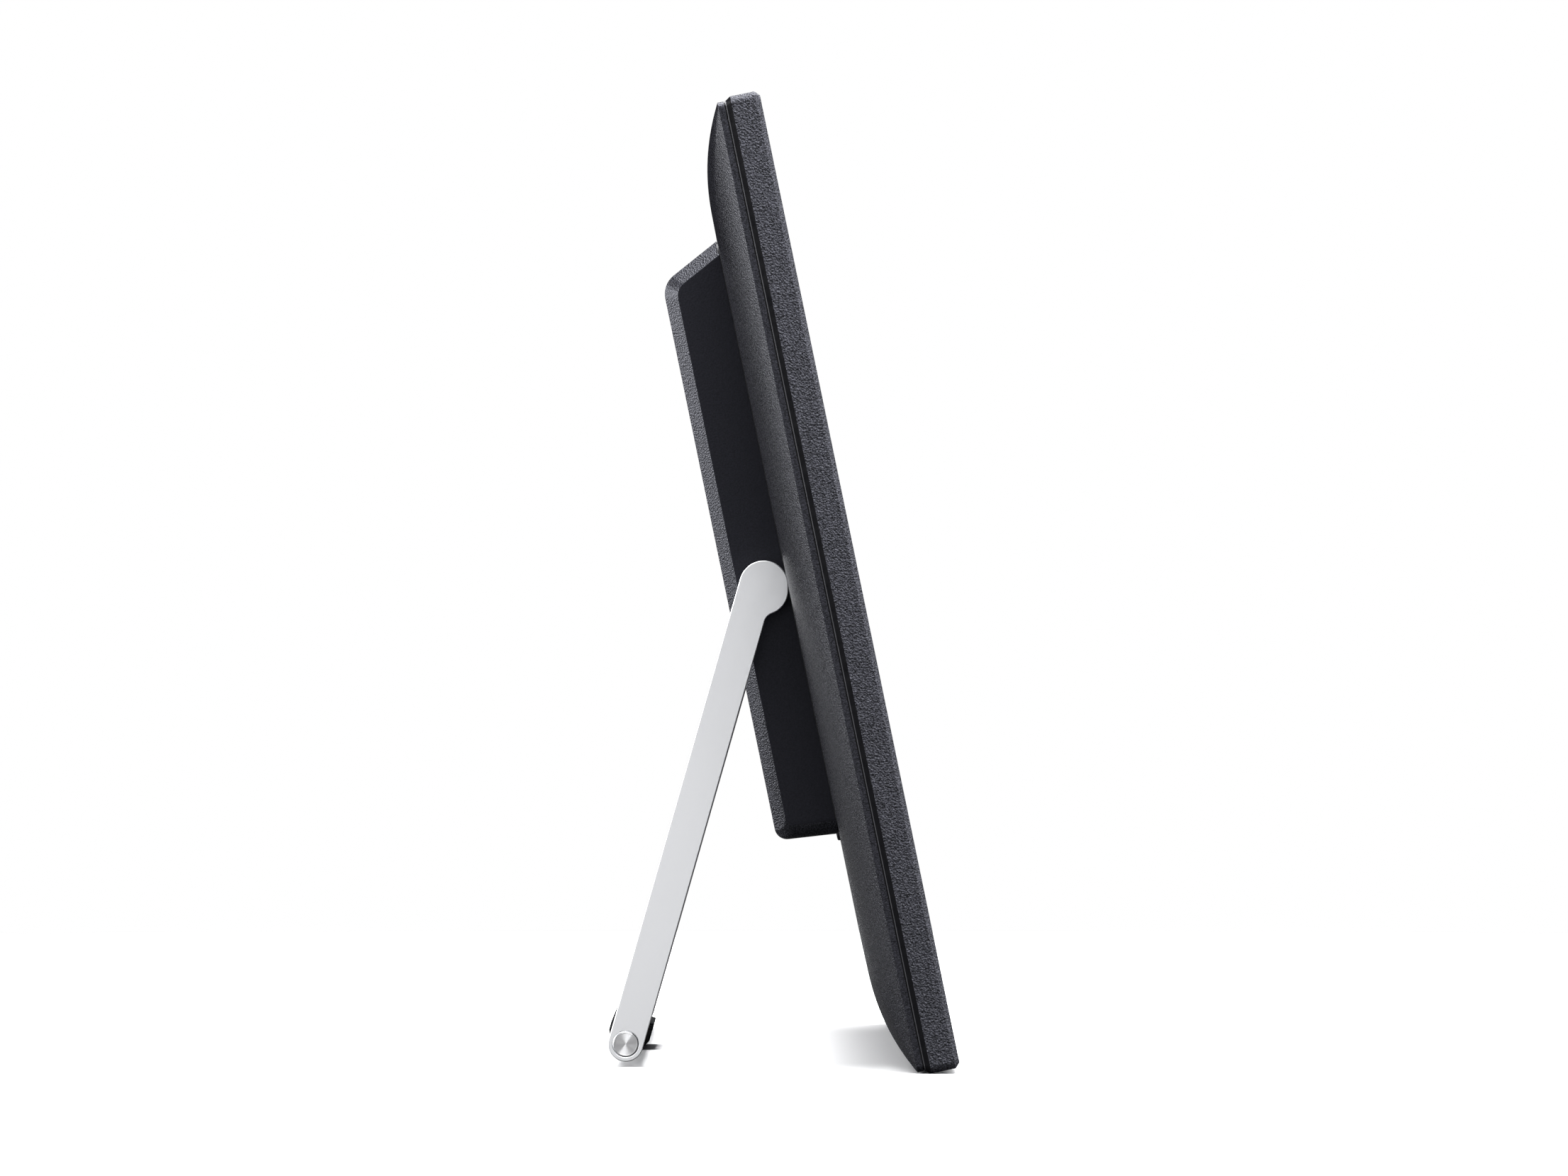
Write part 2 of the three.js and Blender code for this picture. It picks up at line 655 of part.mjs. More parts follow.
function buttonSolid(button) {
  return join(
    slab(buttonOutline(button, 0), BUTTON_FLANGE.front, COVER_BACK + BUTTON_PROUD),
    slab(buttonOutline(button, 1.4), BUTTON_FLANGE.front, BUTTON_FLANGE.back),
  );
}

function buttonBoardSolid() {
  const board = box([BUTTON_X - 9, BUTTON_X + 9], [BUTTON_BOARD.front, BUTTON_BOARD.back], [68, 160]);
  const switches = BUTTONS.map(({ z }) =>
    box([BUTTON_X - 3, BUTTON_X + 3], [BUTTON_BOARD.back - 0.2, BUTTON_BOARD.switchTop], [z - 3, z + 3]),
  );
  const legs = [70, 158].map((z) => peg(1.4, TRAY.back + GAP, BUTTON_BOARD.front + 0.2, [BUTTON_X, z], 8));
  return join(board, ...switches, ...legs);
}

for (const button of BUTTONS) piece(body, button.name, buttonSolid(button), BLACK_PART);
piece(body, "button_board", buttonBoardSolid(), BOARD);

// ---------------------------------------------------------------- hinge seats, fixed to the body

const EAR = { inner: 183, outer: 186, halfWidth: 9 };
const BRACKET = { inner: 158, front: CHASSIS.back + GAP, back: CHASSIS.back + GAP + 2, halfHeight: 16 };
const SHAFT_CLEARANCE = 0.35;

function bracketSolid(side) {
  const [left, right] = orderedPair(side, EAR.inner, EAR.outer);
  const ear = join(
    box([left, right], [BRACKET.front, HINGE.y], [HINGE.z - EAR.halfWidth, HINGE.z + EAR.halfWidth]),
    rod(EAR.halfWidth, left, right, [HINGE.y, HINGE.z], 24),
  );
  const base = box(
    orderedPair(side, BRACKET.inner, EAR.outer),
    [BRACKET.front, BRACKET.back],
    [HINGE.z - BRACKET.halfHeight, HINGE.z + BRACKET.halfHeight],
  );
  const bore = rod(SHAFT_RADIUS + SHAFT_CLEARANCE, left - 1, right + 1, [HINGE.y, HINGE.z], 24);
  return cut(join(ear, base), bore);
}

function bushingSolid(side) {
  const [left, right] = orderedPair(side, 192.2, 195.9);
  return cut(
    rod(6.6, left, right, [HINGE.y, HINGE.z], 24),
    rod(SHAFT_RADIUS + SHAFT_CLEARANCE, left - 1, right + 1, [HINGE.y, HINGE.z], 24),
  );
}

for (const [name, side] of SIDES) {
  piece(body, `hinge_bracket_${name}`, bracketSolid(side), STEEL);
  piece(body, `hinge_bushing_${name}`, bushingSolid(side), BLACK_PART);
}

// ---------------------------------------------------------------- stand

const hingeHeight = BODY_LIFT + HINGE.z * Math.cos(LEAN) - HINGE.y * Math.sin(LEAN);
const hingeDepth = HINGE.z * Math.sin(LEAN) + HINGE.y * Math.cos(LEAN);
// The arms' angle from upright that puts the shoe on the surface.
const SPLAY =
  Math.acos((hingeHeight - SHOE.radius) / Math.hypot(ARM_LENGTH, ARM_OFFSET)) -
  Math.atan2(ARM_OFFSET, ARM_LENGTH);

const stand = new THREE.Group();
stand.position.set(0, hingeDepth, hingeHeight);
stand.rotation.x = SPLAY;

// Head, concave neck on the front edge, straight arm and round end with its bore.
function armOutline() {
  const flank = HEAD_LOBE.angle() - Math.PI / 2; // the way the straight side of the head faces
  const neckY = ARM_OFFSET - ARM_HALF - ARM_NECK_RADIUS;
  const reach = HEAD_RADIUS + ARM_NECK_RADIUS;
  const neckZ = HEAD_LOBE.y - Math.sqrt(reach ** 2 - (neckY - HEAD_LOBE.x) ** 2);
  const neck = new THREE.Vector2(neckY, neckZ);
  const neckAngle = neck.clone().sub(HEAD_LOBE).angle();
  const shape = new THREE.Shape();
  shape.absarc(0, 0, HEAD_RADIUS, 0, flank, false);
  shape.absarc(HEAD_LOBE.x, HEAD_LOBE.y, HEAD_RADIUS, flank, neckAngle, false);
  shape.absarc(neck.x, neck.y, ARM_NECK_RADIUS, neckAngle - Math.PI, 0, true);
  shape.absarc(ARM_OFFSET, -ARM_LENGTH, ARM_HALF, Math.PI, 2 * Math.PI, false);
  const bore = new THREE.Path();
  bore.absarc(ARM_OFFSET, -ARM_LENGTH, BAR_NECK_RADIUS + BORE_CLEARANCE, 0, 2 * Math.PI, true);
  shape.holes.push(bore);
  return shape;
}

function armSolid(side) {
  const [left, right] = orderedPair(side, ARM_INNER, ARM_OUTER);
  const socket = rod(SHAFT_RADIUS + GAP, ...orderedPair(side, ARM_INNER - 1, ARM_OUTER - 1.7), [0, 0], 24);
  return cut(bar(armOutline(), left, right), socket);
}

function shaftSolid(side) {
  const shaft = rod(SHAFT_RADIUS, ...orderedPair(side, 170.5, ARM_OUTER - 2), [0, 0], 24);
  const collar = rod(6.2, ...orderedPair(side, EAR.outer + GAP, 190.5), [0, 0], 24);
  return join(shaft, collar);
}

function washerStackSolid(side) {
  const rings = Array.from({ length: 4 }, (_, index) => {
    const start = 176.7 + index * 1.5;
    const radius = 6.8 - 0.6 * (index % 2);
    return rod(radius, ...orderedPair(side, start, start + 1.6), [0, 0], 20);
  });
  return cut(join(...rings), rod(SHAFT_RADIUS + GAP, ...orderedPair(side, 176, 184), [0, 0], 24));
}

function nutSolid(side) {
  return cut(
    rod(6.9, ...orderedPair(side, 171.6, 176.4), [0, 0], 6),
    rod(SHAFT_RADIUS + GAP, ...orderedPair(side, 171, 177), [0, 0], 24),
  );
}

const FOOT_AXIS = [ARM_OFFSET, -ARM_LENGTH];

function crossBarSolid() {
  const neckEnd = ARM_OUTER - 1.5;
  return join(
    rod(BAR_RADIUS, -ARM_INNER + GAP, ARM_INNER - GAP, FOOT_AXIS, 24),
    rod(BAR_NECK_RADIUS, -neckEnd, neckEnd, FOOT_AXIS, 24),
  );
}

function endCapSolid(side) {
  return rod(BAR_NECK_RADIUS, ...orderedPair(side, ARM_OUTER - 1.2, ARM_OUTER), FOOT_AXIS, 32);
}

// A rubber shoe of U section, in line with the arms; one facet of its round underside faces straight down.
function shoeOutline() {
  const clip = Math.acos(SHOE.halfWidth / SHOE.radius);
  const down = -Math.PI / 2 - SPLAY;
  const corner = SHOE.radius / Math.cos(SHOE.facet / 2);
  const underside = [];
  for (let angle = down + 8.5 * SHOE.facet; angle > -Math.PI + clip; angle -= SHOE.facet) {
    underside.push(new THREE.Vector2(corner * Math.cos(angle), corner * Math.sin(angle)));
  }
  const seat = BAR_RADIUS + GAP;
  const seatArc = Array.from({ length: 13 }, (_, step) => {
    const angle = -Math.PI + (step * Math.PI) / 12;
    return new THREE.Vector2(seat * Math.cos(angle), seat * Math.sin(angle));
  });
  const drop = -SHOE.radius * Math.sin(clip);
  return [
    new THREE.Vector2(SHOE.rearTop, SHOE.rise),
    new THREE.Vector2(SHOE.halfWidth, drop),
    ...underside,
    new THREE.Vector2(-SHOE.halfWidth, drop),
    new THREE.Vector2(-SHOE.halfWidth, SHOE.rise),
    new THREE.Vector2(-seat, SHOE.rise),
    ...seatArc,
    new THREE.Vector2(seat, SHOE.rise),
  ];
}

for (const [name, side] of SIDES) {
  piece(stand, `stand_arm_${name}`, armSolid(side), ALUMINIUM);
  piece(stand, `hinge_shaft_${name}`, shaftSolid(side), STEEL);
  piece(stand, `spring_washers_${name}`, washerStackSolid(side), STEEL);
  piece(stand, `hinge_nut_${name}`, nutSolid(side), STEEL);
  piece(stand, `end_cap_${name}`, endCapSolid(side), ALUMINIUM);
}
piece(stand, "cross_bar", crossBarSolid(), ALUMINIUM);
const shoe = piece(stand, "foot_shoe", bar(shoeOutline(), -SHOE.halfLength, SHOE.halfLength), RUBBER);
shoe.position.set(0, ...FOOT_AXIS);

// ---------------------------------------------------------------- the whole object

const group = new THREE.Group();
group.add(body, stand);
const bounds = new THREE.Box3().setFromObject(group, true);
const centre = bounds.getCenter(new THREE.Vector3());
group.position.set(-centre.x, -centre.y, -bounds.min.z);

export default group;
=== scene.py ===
"""Looks of a large digital photo frame that leans back on a fold-out aluminium stand.

Shapes are drawn in millimetres in the axes of the piece that carries them, and placed in the row frame:
the display body has X across, Y back from its front face and Z up from its bottom edge;
the stand hangs from its hinge, with Y towards the arms' rear edge and Z up along the arms.
"""

import json
import math

import bmesh
import bpy
from mathutils import Matrix, Vector


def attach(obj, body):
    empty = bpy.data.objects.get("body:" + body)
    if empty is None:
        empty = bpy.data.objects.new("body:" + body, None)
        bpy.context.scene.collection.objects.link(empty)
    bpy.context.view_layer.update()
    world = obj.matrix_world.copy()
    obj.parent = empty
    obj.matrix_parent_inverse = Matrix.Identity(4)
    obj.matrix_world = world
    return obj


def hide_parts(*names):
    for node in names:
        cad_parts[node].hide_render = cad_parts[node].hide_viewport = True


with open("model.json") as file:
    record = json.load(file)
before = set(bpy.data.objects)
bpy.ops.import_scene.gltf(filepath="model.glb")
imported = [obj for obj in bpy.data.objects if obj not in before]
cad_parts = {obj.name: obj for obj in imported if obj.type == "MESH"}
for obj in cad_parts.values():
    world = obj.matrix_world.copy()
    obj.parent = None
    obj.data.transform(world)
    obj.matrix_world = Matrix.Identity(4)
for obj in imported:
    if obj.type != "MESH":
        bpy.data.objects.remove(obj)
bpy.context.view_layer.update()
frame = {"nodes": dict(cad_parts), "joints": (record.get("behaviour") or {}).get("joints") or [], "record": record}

# ---------------------------------------------------------------- sizes, in millimetres

MM = 0.001
WIDTH = 530
HEIGHT = 330
MIDDLE = HEIGHT / 2
WALL = 2.4

BEZEL_SIDE_END = 9.8
BEZEL_LIP_START = 11.5
BEZEL_END = 11.8
BEZEL_LIP_INSET = 1.1
BEZEL_LIP_RADIUS = 1.9
BEZEL_WALL = 2.5
FRONT_CHAMFER = 1.6
FRONT_RADIUS = 1.6
CORNER_RADIUS = 2.6
PADS = {"front": 2.8, "rear": 9.2, "top": 0.9, "inner": 150, "outer": 190, "gap": 0.3}
GLASS = {"width": 504.2, "height": 304.2, "front": 0.3, "back": 2.3}
GLASS_SEAT_MARGIN = 0.4
LEDGE_FRONT = 2.6
LEDGE_BACK = 4.2
SCREEN = {"width": 476.6, "height": 268.1}
WINDOW_MARGIN = 2.7

COVER_INSET = 1.2
COVER_START = 12.2
COVER_RIM = 14.3
COVER_BACK = 23.6
COVER_RADIUS = 2.2
COVER_RADIUS_GROWTH = 0.8
COVER_OPENING = {"size": (380, 180), "radius": 6, "middle": 182}
PILLOW_RISE = 36
PILLOW_POWER = 2.2
PILLOW_STEPS = 20
PILLOW_SPACING = 1.3

HUMP_BASE = 23.9
HUMP_BACK = 44.6
HUMP_HALF_WIDTH = 195
HUMP_BOTTOM = 82.6
HUMP_TOP = 285.8
HUMP_CHAMFER = 4.3
HUMP_BOTTOM_FILLET = 5.7
HUMP_TOP_SLOPE = -0.509
HUMP_BOTTOM_SLOPE = 0.0909
SEAM_DEPTH = 0.4
SEAM_FLOOR = 23.2
HEAD_RELIEF = {"x": 199.3, "z": 166, "width": 8, "height": 25, "floor": 22.4}

HEAD_RADIUS = 8.2
HEAD_LOBE = (-0.5, -1.7)
ARM_HALF = 5.9
ARM_OFFSET = HEAD_RADIUS - ARM_HALF
ARM_LENGTH = 160.7
ARM_NECK_RADIUS = 4
ARM_OUTER = 202
ARM_INNER = 196.5
BAR_RADIUS = 5
BAR_NECK_RADIUS = 4.05
BORE_RADIUS = 4.43
FOOT_AXIS = (ARM_OFFSET, -ARM_LENGTH)
SHOE_GROOVES = ((2.9, 0.5), (2.0, 0.3), (1.05, 0.4))  # height above the bar's axis, and width
SHOE = {"radius": 7.8, "half_width": 7.3, "rear_top": 6.85, "rise": 3.7, "half_length": 30, "edge": 0.4}
GROOVE_DEPTH = 0.6
# The plain bearing that shows beside each arm: radius, and distance from the middle of the body.
COLLAR = ((6.6, 192.2), (6.6, 195.6), (6.3, 195.9), (4.6, 195.9), (4.35, 195.6), (4.35, 192.2))

SIDES = (("left", -1), ("right", 1))

# ---------------------------------------------------------------- the two drawing frames

mounts = {mount["name"]: mount for mount in frame["record"]["mounts"]}
joints = {joint["name"]: joint for joint in frame["joints"]}


def axes_matrix(across, back, up, origin):
    """Millimetres along three axes from an origin, as row-frame metres."""
    columns = [axis * MM for axis in (across, back, up)]
    return Matrix([[*(column[row] for column in columns), origin[row]] for row in range(3)] + [[0, 0, 0, 1]])


def body_frame():
    """The leaning body's axes, found from the flat rear face of its housing."""
    face = mounts["wall_mount_face"]
    back = Vector(face["axis"]).normalized()
    across = Vector((1, 0, 0))
    up = across.cross(back)
    origin = Vector(face["pos_m"]) - back * HUMP_BACK * MM - up * MIDDLE * MM
    return axes_matrix(across, back, up, origin)


def stand_frame():
    """The stand's axes at rest, found from its hinge and from where its shoe stands."""
    hinge = Vector(joints["stand_hinge"]["pos_m"])
    foot = Vector(mounts["shoe_rest"]["pos_m"]) + Vector((0, 0, SHOE["radius"] * MM))
    towards = foot - hinge
    turn = math.atan2(towards.z, towards.y) - math.atan2(FOOT_AXIS[1], FOOT_AXIS[0])
    back = Vector((0, math.cos(turn), math.sin(turn)))
    across = Vector((1, 0, 0))
    return axes_matrix(across, back, across.cross(back), hinge)


BODY = body_frame()
STAND = stand_frame()

# ---------------------------------------------------------------- outlines


def rounded_rect(width, height, radius, centre=(0, MIDDLE), steps=6):
    """Anticlockwise points in X and Z, as many whatever the size."""
    points = []
    for corner, (sx, sz) in enumerate(((1, 1), (-1, 1), (-1, -1), (1, -1))):
        for step in range(steps + 1):
            angle = (corner + step / steps) * math.pi / 2
            points.append((
                centre[0] + sx * (width / 2 - radius) + radius * math.cos(angle),
                centre[1] + sz * (height / 2 - radius) + radius * math.sin(angle),
            ))
    return points


def circle(radius, centre=(0, 0), sides=64):
    return arc(centre, radius, 0, 2 * math.pi * (1 - 1 / sides), sides - 1)


def arc(centre, radius, start, end, steps):
    return [
        (
            centre[0] + radius * math.cos(start + (end - start) * step / steps),
            centre[1] + radius * math.sin(start + (end - start) * step / steps),
        )
        for step in range(steps + 1)
    ]


def filleted_polygon(corners, steps=8):
    """Corners are (a, b, radius); a corner with a radius becomes an arc."""
    points = []
    for index, (a, b, radius) in enumerate(corners):
        corner = Vector((a, b))
        if not radius:
            points.append((a, b))
            continue
        before = (Vector(corners[index - 1][:2]) - corner).normalized()
        after = (Vector(corners[(index + 1) % len(corners)][:2]) - corner).normalized()
        half = before.angle(after) / 2
        centre = corner + (before + after).normalized() * radius / math.sin(half)
        start = corner + before * radius / math.tan(half) - centre
        end = corner + after * radius / math.tan(half) - centre
        first = math.atan2(start.y, start.x)
        turn = math.remainder(math.atan2(end.y, end.x) - first, 2 * math.pi)
        points += arc(centre, radius, first, first + turn, steps)
    return points


def at_depth(points, depth):
    return [(x, depth, z) for x, z in points]


def at_x(points, x):
    return [(x, y, z) for y, z in points]


def at_height(points, z):
    return [(x, y, z) for x, y in points]


# ---------------------------------------------------------------- solids and pieces


def loft(rings, closed=False):
    """(points, faces) of a skin through rings of equal length; closed joins the last ring to the first."""
    size = len(rings[0])
    count = len(rings)
    points = [point for ring in rings for point in ring]
    faces = []
    for ring in range(count if closed else count - 1):
        here = ring * size
        there = (ring + 1) % count * size
        for i in range(size):
            after = (i + 1) % size
            faces.append((here + i, there + i, there + after, here + after))
    if not closed:
        faces.append(tuple(range(size)))
        faces.append(tuple(range((count - 1) * size, count * size)))
    return points, faces


def merged(*solids):
    """Several (points, faces) as one."""
    points, faces = [], []
    for some_points, some_faces in solids:
        faces += [tuple(index + len(points) for index in face) for face in some_faces]
        points += some_points
    return points, faces


def prism(ring_of, outline, start, end):
    return loft([ring_of(outline, start), ring_of(outline, end)])


def box(x, y, z):
    return prism(at_height, [(x[0], y[0]), (x[1], y[0]), (x[1], y[1]), (x[0], y[1])], *z)


def make_object(name, solid, place, centre=(0, 0, 0)):
    """A mesh object; its own origin is the row frame's, or a point given in the drawing's millimetres."""
    points, faces = solid
    origin = place @ Vector(centre) if any(centre) else Vector()
    mesh = bpy.data.meshes.new(name)
    mesh.from_pydata([place @ Vector(point) - origin for point in points], [], faces)
    shape = bmesh.new()
    shape.from_mesh(mesh)
    bmesh.ops.remove_doubles(shape, verts=shape.verts, dist=1e-7)
    bmesh.ops.recalc_face_normals(shape, faces=shape.faces)
    shape.to_mesh(mesh)
    shape.free()
    thing = bpy.data.objects.new(name, mesh)
    thing.location = origin
    bpy.context.scene.collection.objects.link(thing)
    return thing


def apply_modifiers(thing):
    bpy.context.view_layer.update()
    shown = thing.evaluated_get(bpy.context.evaluated_depsgraph_get())
    mesh = bpy.data.meshes.new_from_object(shown)
    thing.modifiers.clear()
    old = thing.data
    thing.data = mesh
    bpy.data.meshes.remove(old)


def carve(thing, cutter_solids, place):
    """Cuts every cutter out of the object."""
    cutter = make_object(thing.name + "_cutter", merged(*cutter_solids), place)
    boolean = thing.modifiers.new("carve", "BOOLEAN")
    boolean.operation = "DIFFERENCE"
    boolean.solver = "EXACT"
    boolean.object = cutter
    apply_modifiers(thing)
    mesh = cutter.data
    bpy.data.objects.remove(cutter)
    bpy.data.meshes.remove(mesh)


def soften(thing, width, angle=28, segments=3):
    """Rounds the edges sharper than the angle and evens the shading of the flats between them."""
    bevel = thing.modifiers.new("soften", "BEVEL")
    bevel.width = width * MM
    bevel.segments = segments
    bevel.limit_method = "ANGLE"
    bevel.angle_limit = math.radians(angle)
    bevel.miter_outer = "MITER_ARC"
    bevel.use_clamp_overlap = True
    thing.data.polygons.foreach_set("use_smooth", [True] * len(thing.data.polygons))
    normals = thing.modifiers.new("even", "WEIGHTED_NORMAL")
    normals.keep_sharp = True
    apply_modifiers(thing)


def piece(
    name, solid, place, body, material, slot, replaced=(), soft=0.0, cutters=(), centre=(0, 0, 0), **bevel
):
    """A finished, named piece that rides on a body and stands for its CAD nodes."""
    thing = make_object(name, solid, place, centre)
    if cutters:
        carve(thing, cutters, place)
    if soft:
        soften(thing, soft, **bevel)
    thing.data.materials.clear()
    thing.data.materials.append(material)
    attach(thing, body)
    if replaced:
        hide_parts(*replaced)
    return thing


def paint(thing, material, belongs):
    """Gives a second finish to the faces whose middle, in the body's millimetres, belongs."""
    thing.data.materials.append(material)
    index = len(thing.data.materials) - 1
    to_drawing = BODY.inverted()
    for polygon in thing.data.polygons:
        if belongs(to_drawing @ polygon.center):
            polygon.material_index = index


# ---------------------------------------------------------------- materials


class Surface:
    """A Principled material with short ways to add procedural detail, in object space."""

    def __init__(self, name, color, roughness, metallic=0.0, **values):
        self.material = bpy.data.materials.new(name)
        self.material.use_nodes = True
        self.nodes = self.material.node_tree.nodes
        self.links = self.material.node_tree.links
        self.shader = self.nodes["Principled BSDF"]
        self.shader.inputs["Base Color"].default_value = (*color, 1)
        self.shader.inputs["Roughness"].default_value = roughness
        self.shader.inputs["Metallic"].default_value = metallic
        for key, value in values.items():
            self.shader.inputs[key.replace("_", " ")].default_value = value
        self.color = color
        self.roughness = roughness
        self.bump_normal = None

    def coordinates(self, stretch=(1, 1, 1)):
        source = self.nodes.new("ShaderNodeTexCoord")
        mapping = self.nodes.new("ShaderNodeMapping")
        mapping.inputs["Scale"].default_value = stretch
        self.links.new(source.outputs["Object"], mapping.inputs["Vector"])
        return mapping.outputs["Vector"]

    def noise(self, size_mm, detail=2.0, stretch=(1, 1, 1)):
        texture = self.nodes.new("ShaderNodeTexNoise")
        texture.inputs["Scale"].default_value = 1 / (size_mm * MM)
        texture.inputs["Detail"].default_value = detail
        self.links.new(self.coordinates(stretch), texture.inputs["Vector"])
        return texture.outputs["Fac"]

    def cells(self, size_mm, stretch=(1, 1, 1)):
        texture = self.nodes.new("ShaderNodeTexVoronoi")
        texture.feature = "SMOOTH_F1"
        texture.inputs["Scale"].default_value = 1 / (size_mm * MM)
        texture.inputs["Smoothness"].default_value = 0.6
        self.links.new(self.coordinates(stretch), texture.inputs["Vector"])
        return texture.outputs["Distance"]

    def bump(self, height, depth_mm, strength=1.0):
        node = self.nodes.new("ShaderNodeBump")
        node.inputs["Distance"].default_value = depth_mm * MM
        node.inputs["Strength"].default_value = strength
        self.links.new(height, node.inputs["Height"])
        if self.bump_normal:
            self.links.new(self.bump_normal, node.inputs["Normal"])
        self.bump_normal = node.outputs["Normal"]
        self.links.new(self.bump_normal, self.shader.inputs["Normal"])
        return self

    def _span(self, factor, low, high, spread=0.2):
        ramp = self.nodes.new("ShaderNodeMapRange")
        ramp.inputs["From Min"].default_value = 0.5 - spread
        ramp.inputs["From Max"].default_value = 0.5 + spread
        ramp.inputs["To Min"].default_value = low
        ramp.inputs["To Max"].default_value = high
        self.links.new(factor, ramp.inputs["Value"])
        return ramp.outputs["Result"]

    def vary_roughness(self, factor, spread):
        span = self._span(factor, self.roughness - spread, self.roughness + spread)
        self.links.new(span, self.shader.inputs["Roughness"])
        return self

    def vary_color(self, factor, other, spread=0.2):
        mix = self.nodes.new("ShaderNodeMix")
        mix.data_type = "RGBA"
        mix.inputs["A"].default_value = (*self.color, 1)
        mix.inputs["B"].default_value = (*other, 1)
        self.links.new(self._span(factor, 0.0, 1.0, spread), mix.inputs["Factor"])
        self.links.new(mix.outputs["Result"], self.shader.inputs["Base Color"])
        return self


COOL_TINT = (0.86, 0.88, 1.0, 1)


def grained_plastic(name, color, roughness, cell_mm, depth_mm, gloss=0.35, speckle=0.5):
    """Moulded plastic from a spark-eroded tool: pebbly cells over a finer roughness."""
    surface = Surface(name, color, roughness, Specular_IOR_Level=gloss, Specular_Tint=COOL_TINT)
    cells = surface.cells(cell_mm)
    fine = surface.noise(cell_mm * 0.45, detail=3)
    surface.bump(cells, depth_mm).bump(fine, depth_mm * 0.5)
    surface.vary_roughness(surface.noise(cell_mm * 1.3), 0.08)
    surface.color = tuple(channel * (1 - speckle) for channel in color)
    lighter = tuple(channel * (1 + speckle) for channel in color)
    surface.vary_color(surface.noise(cell_mm, detail=3), lighter, spread=0.12)
    return surface.material


def satin_aluminium(name, color, roughness):
    """Bead-blasted, anodised aluminium with a very fine sparkle."""
    surface = Surface(name, color, roughness, 1.0)
    surface.bump(surface.noise(0.25, detail=3), 0.006)
    surface.vary_roughness(surface.noise(0.6), 0.03)
    return surface.material


def spun_aluminium(name):
    """Turned face: fine concentric lines that stretch highlights into rays from the centre."""
    surface = Surface(name, (0.95, 0.95, 0.955), 0.5, 1.0, Anisotropic=1.0, Anisotropic_Rotation=0.25)
    tangent = surface.nodes.new("ShaderNodeTangent")
    tangent.direction_type = "RADIAL"
    tangent.axis = "X"
    surface.links.new(tangent.outputs["Tangent"], surface.shader.inputs["Tangent"])
    surface.vary_roughness(surface.noise(0.15), 0.04)
    return surface.material


def soft_rubber(name):
    surface = Surface(name, (0.009, 0.009, 0.010), 0.75, Specular_IOR_Level=0.15)
    surface.bump(surface.noise(0.5, detail=4), 0.03)
    surface.vary_roughness(surface.noise(2), 0.08)
    return surface.material


def plated_steel(name, color, roughness):
    surface = Surface(name, color, roughness, 1.0)
    surface.bump(surface.noise(1.5, detail=4, stretch=(1, 1, 8)), 0.01)
    surface.vary_roughness(surface.noise(8), 0.08)
    return surface.material


def display_glass(name):
    """Anti-reflection coated cover glass, finely etched, over a dark, switched-off display."""
    surface = Surface(name, (0.006, 0.006, 0.008), 0.2, IOR=1.52, Specular_IOR_Level=0.1)
    surface.vary_roughness(surface.noise(60, detail=4), 0.03)
    surface.bump(surface.noise(90, detail=1), 0.02)
    return surface.material


def plain(name, color, roughness, grain_mm, depth_mm, spread=0.08, gloss=0.5):
    """A quiet surface with a little grain and unevenness."""
    surface = Surface(name, color, roughness, Specular_IOR_Level=gloss)
    surface.bump(surface.noise(grain_mm, detail=3), depth_mm)
    surface.vary_roughness(surface.noise(grain_mm * 4), spread)
    surface.vary_color(surface.noise(grain_mm * 6, detail=3), tuple(min(1, c * 1.25) for c in color))
    return surface.material


MATERIALS = {
    "body_plastic": grained_plastic(
        "charcoal_grained_plastic", (0.023, 0.023, 0.028), 0.4, 0.62, 0.4, gloss=0.35, speckle=0.95,
    ),
    "rear_plastic": grained_plastic(
        "charcoal_fine_plastic", (0.012, 0.012, 0.015), 0.24, 0.5, 0.11, gloss=0.3, speckle=0.9,
    ),
    # Near-black: it stays on the housing's end walls, partly a smooth finish of their own and partly painted shade
    # where the body blocks the light.
    "housing_plastic": grained_plastic("charcoal_smooth_painted_shade", (0.004, 0.004, 0.007), 0.58, 0.5, 0.05),
    # Near-black, far darker than the bezel: painted shade for the bezel's rear strip and the seam ring, on the
    # strip partly a smooth black finish of its own.
    "smooth_plastic": plain("smooth_black_painted_shade", (0.004, 0.004, 0.005), 0.35, 0.6, 0.01, gloss=0.1),
    # Twice as light as the bezel: a painted highlight along the thin lip edge at the bezel's rear.
    "lip_highlight_plastic": plain("lip_edge_painted_highlight", (0.045, 0.045, 0.05), 0.3, 0.6, 0.01),
    "screen_glass": display_glass("display_glass"),
    "backlight_film": plain("diffuser_film", (0.8, 0.81, 0.83), 0.6, 1, 0.01),
    "light_guide_acrylic": plain("acrylic_sheet", (0.75, 0.8, 0.83), 0.15, 2, 0.01),
    "sheet_steel": plated_steel("zinc_plated_sheet", (0.55, 0.56, 0.58), 0.4),
    "hardware_steel": plated_steel("plated_hardware", (0.42, 0.42, 0.44), 0.35),
    "stand_aluminium": satin_aluminium("satin_aluminium", (0.91, 0.915, 0.925), 0.5),
    "spun_aluminium": spun_aluminium("spun_aluminium"),
    "heat_sink_aluminium": satin_aluminium("extruded_aluminium", (0.6, 0.61, 0.62), 0.4),
    "black_rubber": soft_rubber("soft_rubber"),
    "lead_insulation": plain("cable_insulation", (0.02, 0.02, 0.02), 0.6, 1, 0.02),
    "circuit_board": plain("solder_mask", (0.01, 0.075, 0.03), 0.35, 1.2, 0.02),
    "flex_circuit": plain("polyimide", (0.42, 0.19, 0.03), 0.3, 1.5, 0.01),
    "black_moulding": plain("black_moulding", (0.014, 0.014, 0.016), 0.5, 0.6, 0.03),
}

